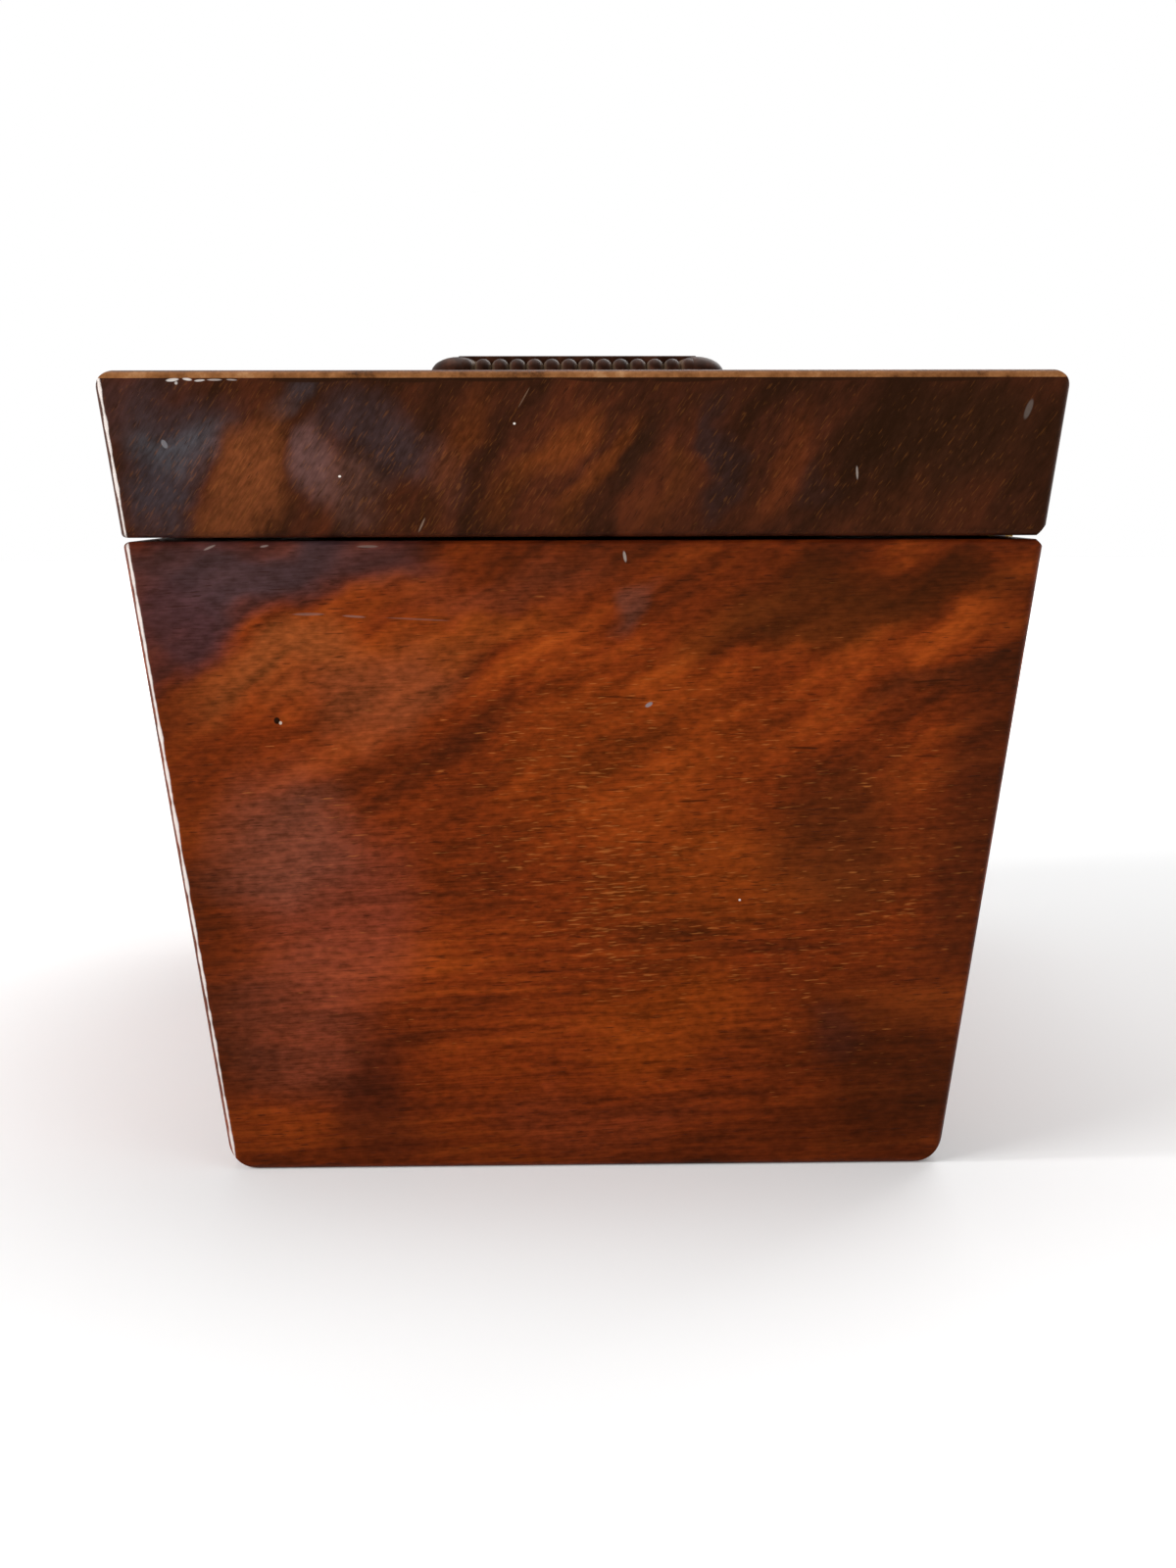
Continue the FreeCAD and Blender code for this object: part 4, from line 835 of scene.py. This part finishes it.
# %% Corner lobes and joining
LOBE_EXTRA = 0.5 * MM
bpy.ops.object.select_all(action="DESELECT")
corner = (BEND_X, BEND_Y, BEND_Z + RISE)
bpy.ops.mesh.primitive_uv_sphere_add(segments=32, ring_count=16, radius=OVOLO, location=corner)
lobes = bpy.context.object
lobes.scale.z = (BEND + LOBE_EXTRA) / OVOLO
bpy.ops.object.transform_apply(location=True, rotation=False, scale=True)
bpy.ops.object.mode_set(mode="EDIT")
bpy.ops.mesh.select_all(action="SELECT")
bpy.ops.mesh.bisect(plane_co=corner, plane_no=(0, 0, 1), clear_inner=True, use_fill=True)
bpy.ops.object.mode_set(mode="OBJECT")
pick_faces(lobes, lambda p: p.z < BEND_Z + RISE + TINY)
bpy.ops.mesh.extrude_region_move(TRANSFORM_OT_translate={"value": (0, 0, -RISE)})
bpy.ops.object.mode_set(mode="OBJECT")
mirror = lobes.modifiers.new("corners", "MIRROR")
mirror.use_axis = (True, True, False)
bpy.ops.object.modifier_apply(modifier="corners")
bpy.ops.object.mode_set(mode="EDIT")
bpy.ops.mesh.select_all(action="SELECT")
bpy.ops.mesh.normals_make_consistent(inside=False)
bpy.ops.object.mode_set(mode="OBJECT")
only(tablet)
for piece in (plinth, bed, lobes, *rows):
    piece.select_set(True)
bpy.ops.object.join()
handle = bpy.context.object
handle.name = "carved_handle"
bpy.ops.object.shade_smooth_by_angle(angle=math.radians(40))
print("handle", len(handle.data.polygons), "faces")

# %% [markdown]
# ### Ebonised wood
# It is stained black and polished, and it goes brown where the stain wears off. Wax and dust stay in
# the furrows, so the gadroons read as dark cords with paler lines between them. The furrows are found
# from the gadroons' even pitch.

# %% Furrows
FURROW_EDGE, FURROW_BED = 0.62, 0.2


def furrow(tree, axes, axis, other, end, edge):
    """The furrows between the gadroons of two opposite sides."""
    wave = add(tree, "Math", {0: axes[axis], 1: math.pi / PITCH}, operation="MULTIPLY")
    wave = add(tree, "Math", {0: wave}, operation="SINE")
    wave = add(tree, "Math", {0: wave}, operation="ABSOLUTE")
    low = add(tree, "MapRange", {"Value": wave, "From Min": FURROW_EDGE, "From Max": FURROW_BED})
    outwards = add(tree, "Math", {0: axes[other]}, operation="ABSOLUTE")
    outside = add(tree, "Math", {0: outwards, 1: edge}, operation="GREATER_THAN")
    sideways = add(tree, "Math", {0: axes[axis]}, operation="ABSOLUTE")
    within = add(tree, "Math", {0: sideways, 1: end - PITCH / 2}, operation="LESS_THAN")
    on_side = add(tree, "Math", {0: outside, 1: within}, operation="MULTIPLY")
    return add(tree, "Math", {0: on_side, 1: low}, operation="MULTIPLY")


print("furrows every", round(PITCH / MM, 2), "mm")

# %% Ebonised wood
EBONY_MM = (38, 2.2)
WAX = 0.28
ebony, tree, shader = finish("ebonised_wood")
place = add(tree, "TexCoord", output="Object")
axes = add(tree, "SeparateXYZ", {0: place}).node.outputs
stain = grain(tree, place, *EBONY_MM, 5.0)
colour = add(tree, "ValToRGB", {"Fac": stain}, stops=[
    (0.3, "#160a06"), (0.55, "#2c170f"), (0.75, "#4a2c1f"),
])
across_ends = furrow(tree, axes, "Y", "X", BEND_Y, BEND_X)
along_sides = furrow(tree, axes, "X", "Y", BEND_X, BEND_Y)
wax = add(tree, "Math", {0: across_ends, 1: along_sides}, operation="MAXIMUM")
wax = add(tree, "Math", {0: wax, 1: WAX}, operation="MULTIPLY")
colour = add(tree, "Mix", {0: wax, 6: colour, 7: linear("#8a7258")}, output=2, data_type="RGBA")
tree.links.new(colour, shader.inputs["Base Color"])
shader.inputs["Roughness"].default_value = 0.45
shader.inputs["Specular IOR Level"].default_value = 0.08
shader.inputs["Specular Tint"].default_value = linear("#e0905c")
handle.data.materials.append(ebony)
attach(handle, "lid")
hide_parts("lid_handle")
print("handle rides the lid")

# %% [markdown]
# ## Slotted screws
# Hand-filed brass screws have a wide slot, and the slots beside each other point different ways. A thread
# would never show, so one screw is drawn down from a circle, head, shank and point, its slot is cut, and
# copies go where the hinges and the lock have holes.

# %% One screw
HEAD, SHANK, HEAD_DEEP, LENGTH = 2.1 * MM, 1.05 * MM, 1.2 * MM, 11 * MM
POINT, POINT_THINNER = 2 * MM, 0.3
SHAFT = LENGTH - HEAD_DEEP - POINT
bpy.ops.object.select_all(action="DESELECT")
bpy.ops.mesh.primitive_circle_add(vertices=24, radius=HEAD, fill_type="NGON", location=(0, 0, 0))
screw = bpy.context.object
bpy.ops.object.mode_set(mode="EDIT")
bpy.ops.mesh.select_all(action="SELECT")
for down, thinner in ((HEAD_DEEP, SHANK / HEAD), (SHAFT, 1.0), (POINT, POINT_THINNER)):
    bpy.ops.mesh.extrude_region_move(TRANSFORM_OT_translate={"value": (0, 0, -down)})
    bpy.ops.transform.resize(value=(thinner, thinner, 1.0))
bpy.ops.mesh.select_all(action="SELECT")
bpy.ops.mesh.fill_holes(sides=0)
bpy.ops.mesh.normals_make_consistent(inside=False)
bpy.ops.object.mode_set(mode="OBJECT")
print("screw", len(screw.data.polygons), "faces")

# %% The slot in its head
SLOT, SLOT_DEEP, SLOT_BED = 0.32 * MM, 0.5 * MM, 0.78
for side in (-SLOT, SLOT):
    pick_faces(screw, lambda p: p.z > -TINY)
    bpy.ops.mesh.bisect(plane_co=(side, 0, 0), plane_no=(1, 0, 0))
    bpy.ops.object.mode_set(mode="OBJECT")
pick_faces(screw, lambda p: p.z > -TINY and abs(p.x) < SLOT)
bpy.ops.mesh.extrude_region_move(TRANSFORM_OT_translate={"value": (0, 0, -SLOT_DEEP)})
bpy.ops.transform.resize(value=(1.0, SLOT_BED, 1.0))
bpy.ops.object.mode_set(mode="OBJECT")
only(screw)
bpy.ops.object.shade_smooth_by_angle(angle=math.radians(35))
screw.data.materials.append(metal("screw_brass", "#b8933f", "#6b5126", 0.35, 0.55))
print("slotted screw", len(screw.data.polygons), "faces")

# %% Copies of the screw
FIRST_TURN, NEXT_TURN = 20, 37
HINGE_STEP = 13 * MM


def screws(node, body, places, face, turned):
    """Copies of the screw that stand for one group of the frame."""
    copies = []
    for index, (x, y) in enumerate(places):
        only(screw)
        bpy.ops.object.duplicate()
        copy = bpy.context.object
        copy.rotation_euler = (math.radians(turned), 0, math.radians(NEXT_TURN * index + FIRST_TURN))
        copy.location = (x, y, face)
        bpy.ops.object.transform_apply(location=True, rotation=True)
        copies.append(copy)
    only(copies[0])
    for copy in copies:
        copy.select_set(True)
    bpy.ops.object.join()
    joined = bpy.context.object
    joined.name = "slotted_" + node
    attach(joined, body)
    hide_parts(node)


def middle(node):
    """The middle of a node's box."""
    return (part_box(node)[0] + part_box(node)[1]) / 2


hinge_places = [
    (middle(leaf).x + step, middle("hinge_base_screws").y)
    for leaf in ("hinge_left_base_leaf", "hinge_right_base_leaf")
    for step in (-HINGE_STEP, 0, HINGE_STEP)
]
lock_places = [
    (corner.x - math.copysign(HEAD, corner.x), middle("lock_screws").y)
    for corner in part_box("lock_screws")
]
screws("hinge_base_screws", "base", hinge_places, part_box("hinge_base_screws")[1].z, 0)
screws("hinge_lid_screws", "lid", hinge_places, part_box("hinge_lid_screws")[0].z, 180)
screws("lock_screws", "base", lock_places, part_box("lock_screws")[1].z, 0)
screws("link_plate_screws", "lid", lock_places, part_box("link_plate_screws")[0].z, 180)
bpy.data.objects.remove(screw)
print(2 * (len(hinge_places) + len(lock_places)), "slotted screws")
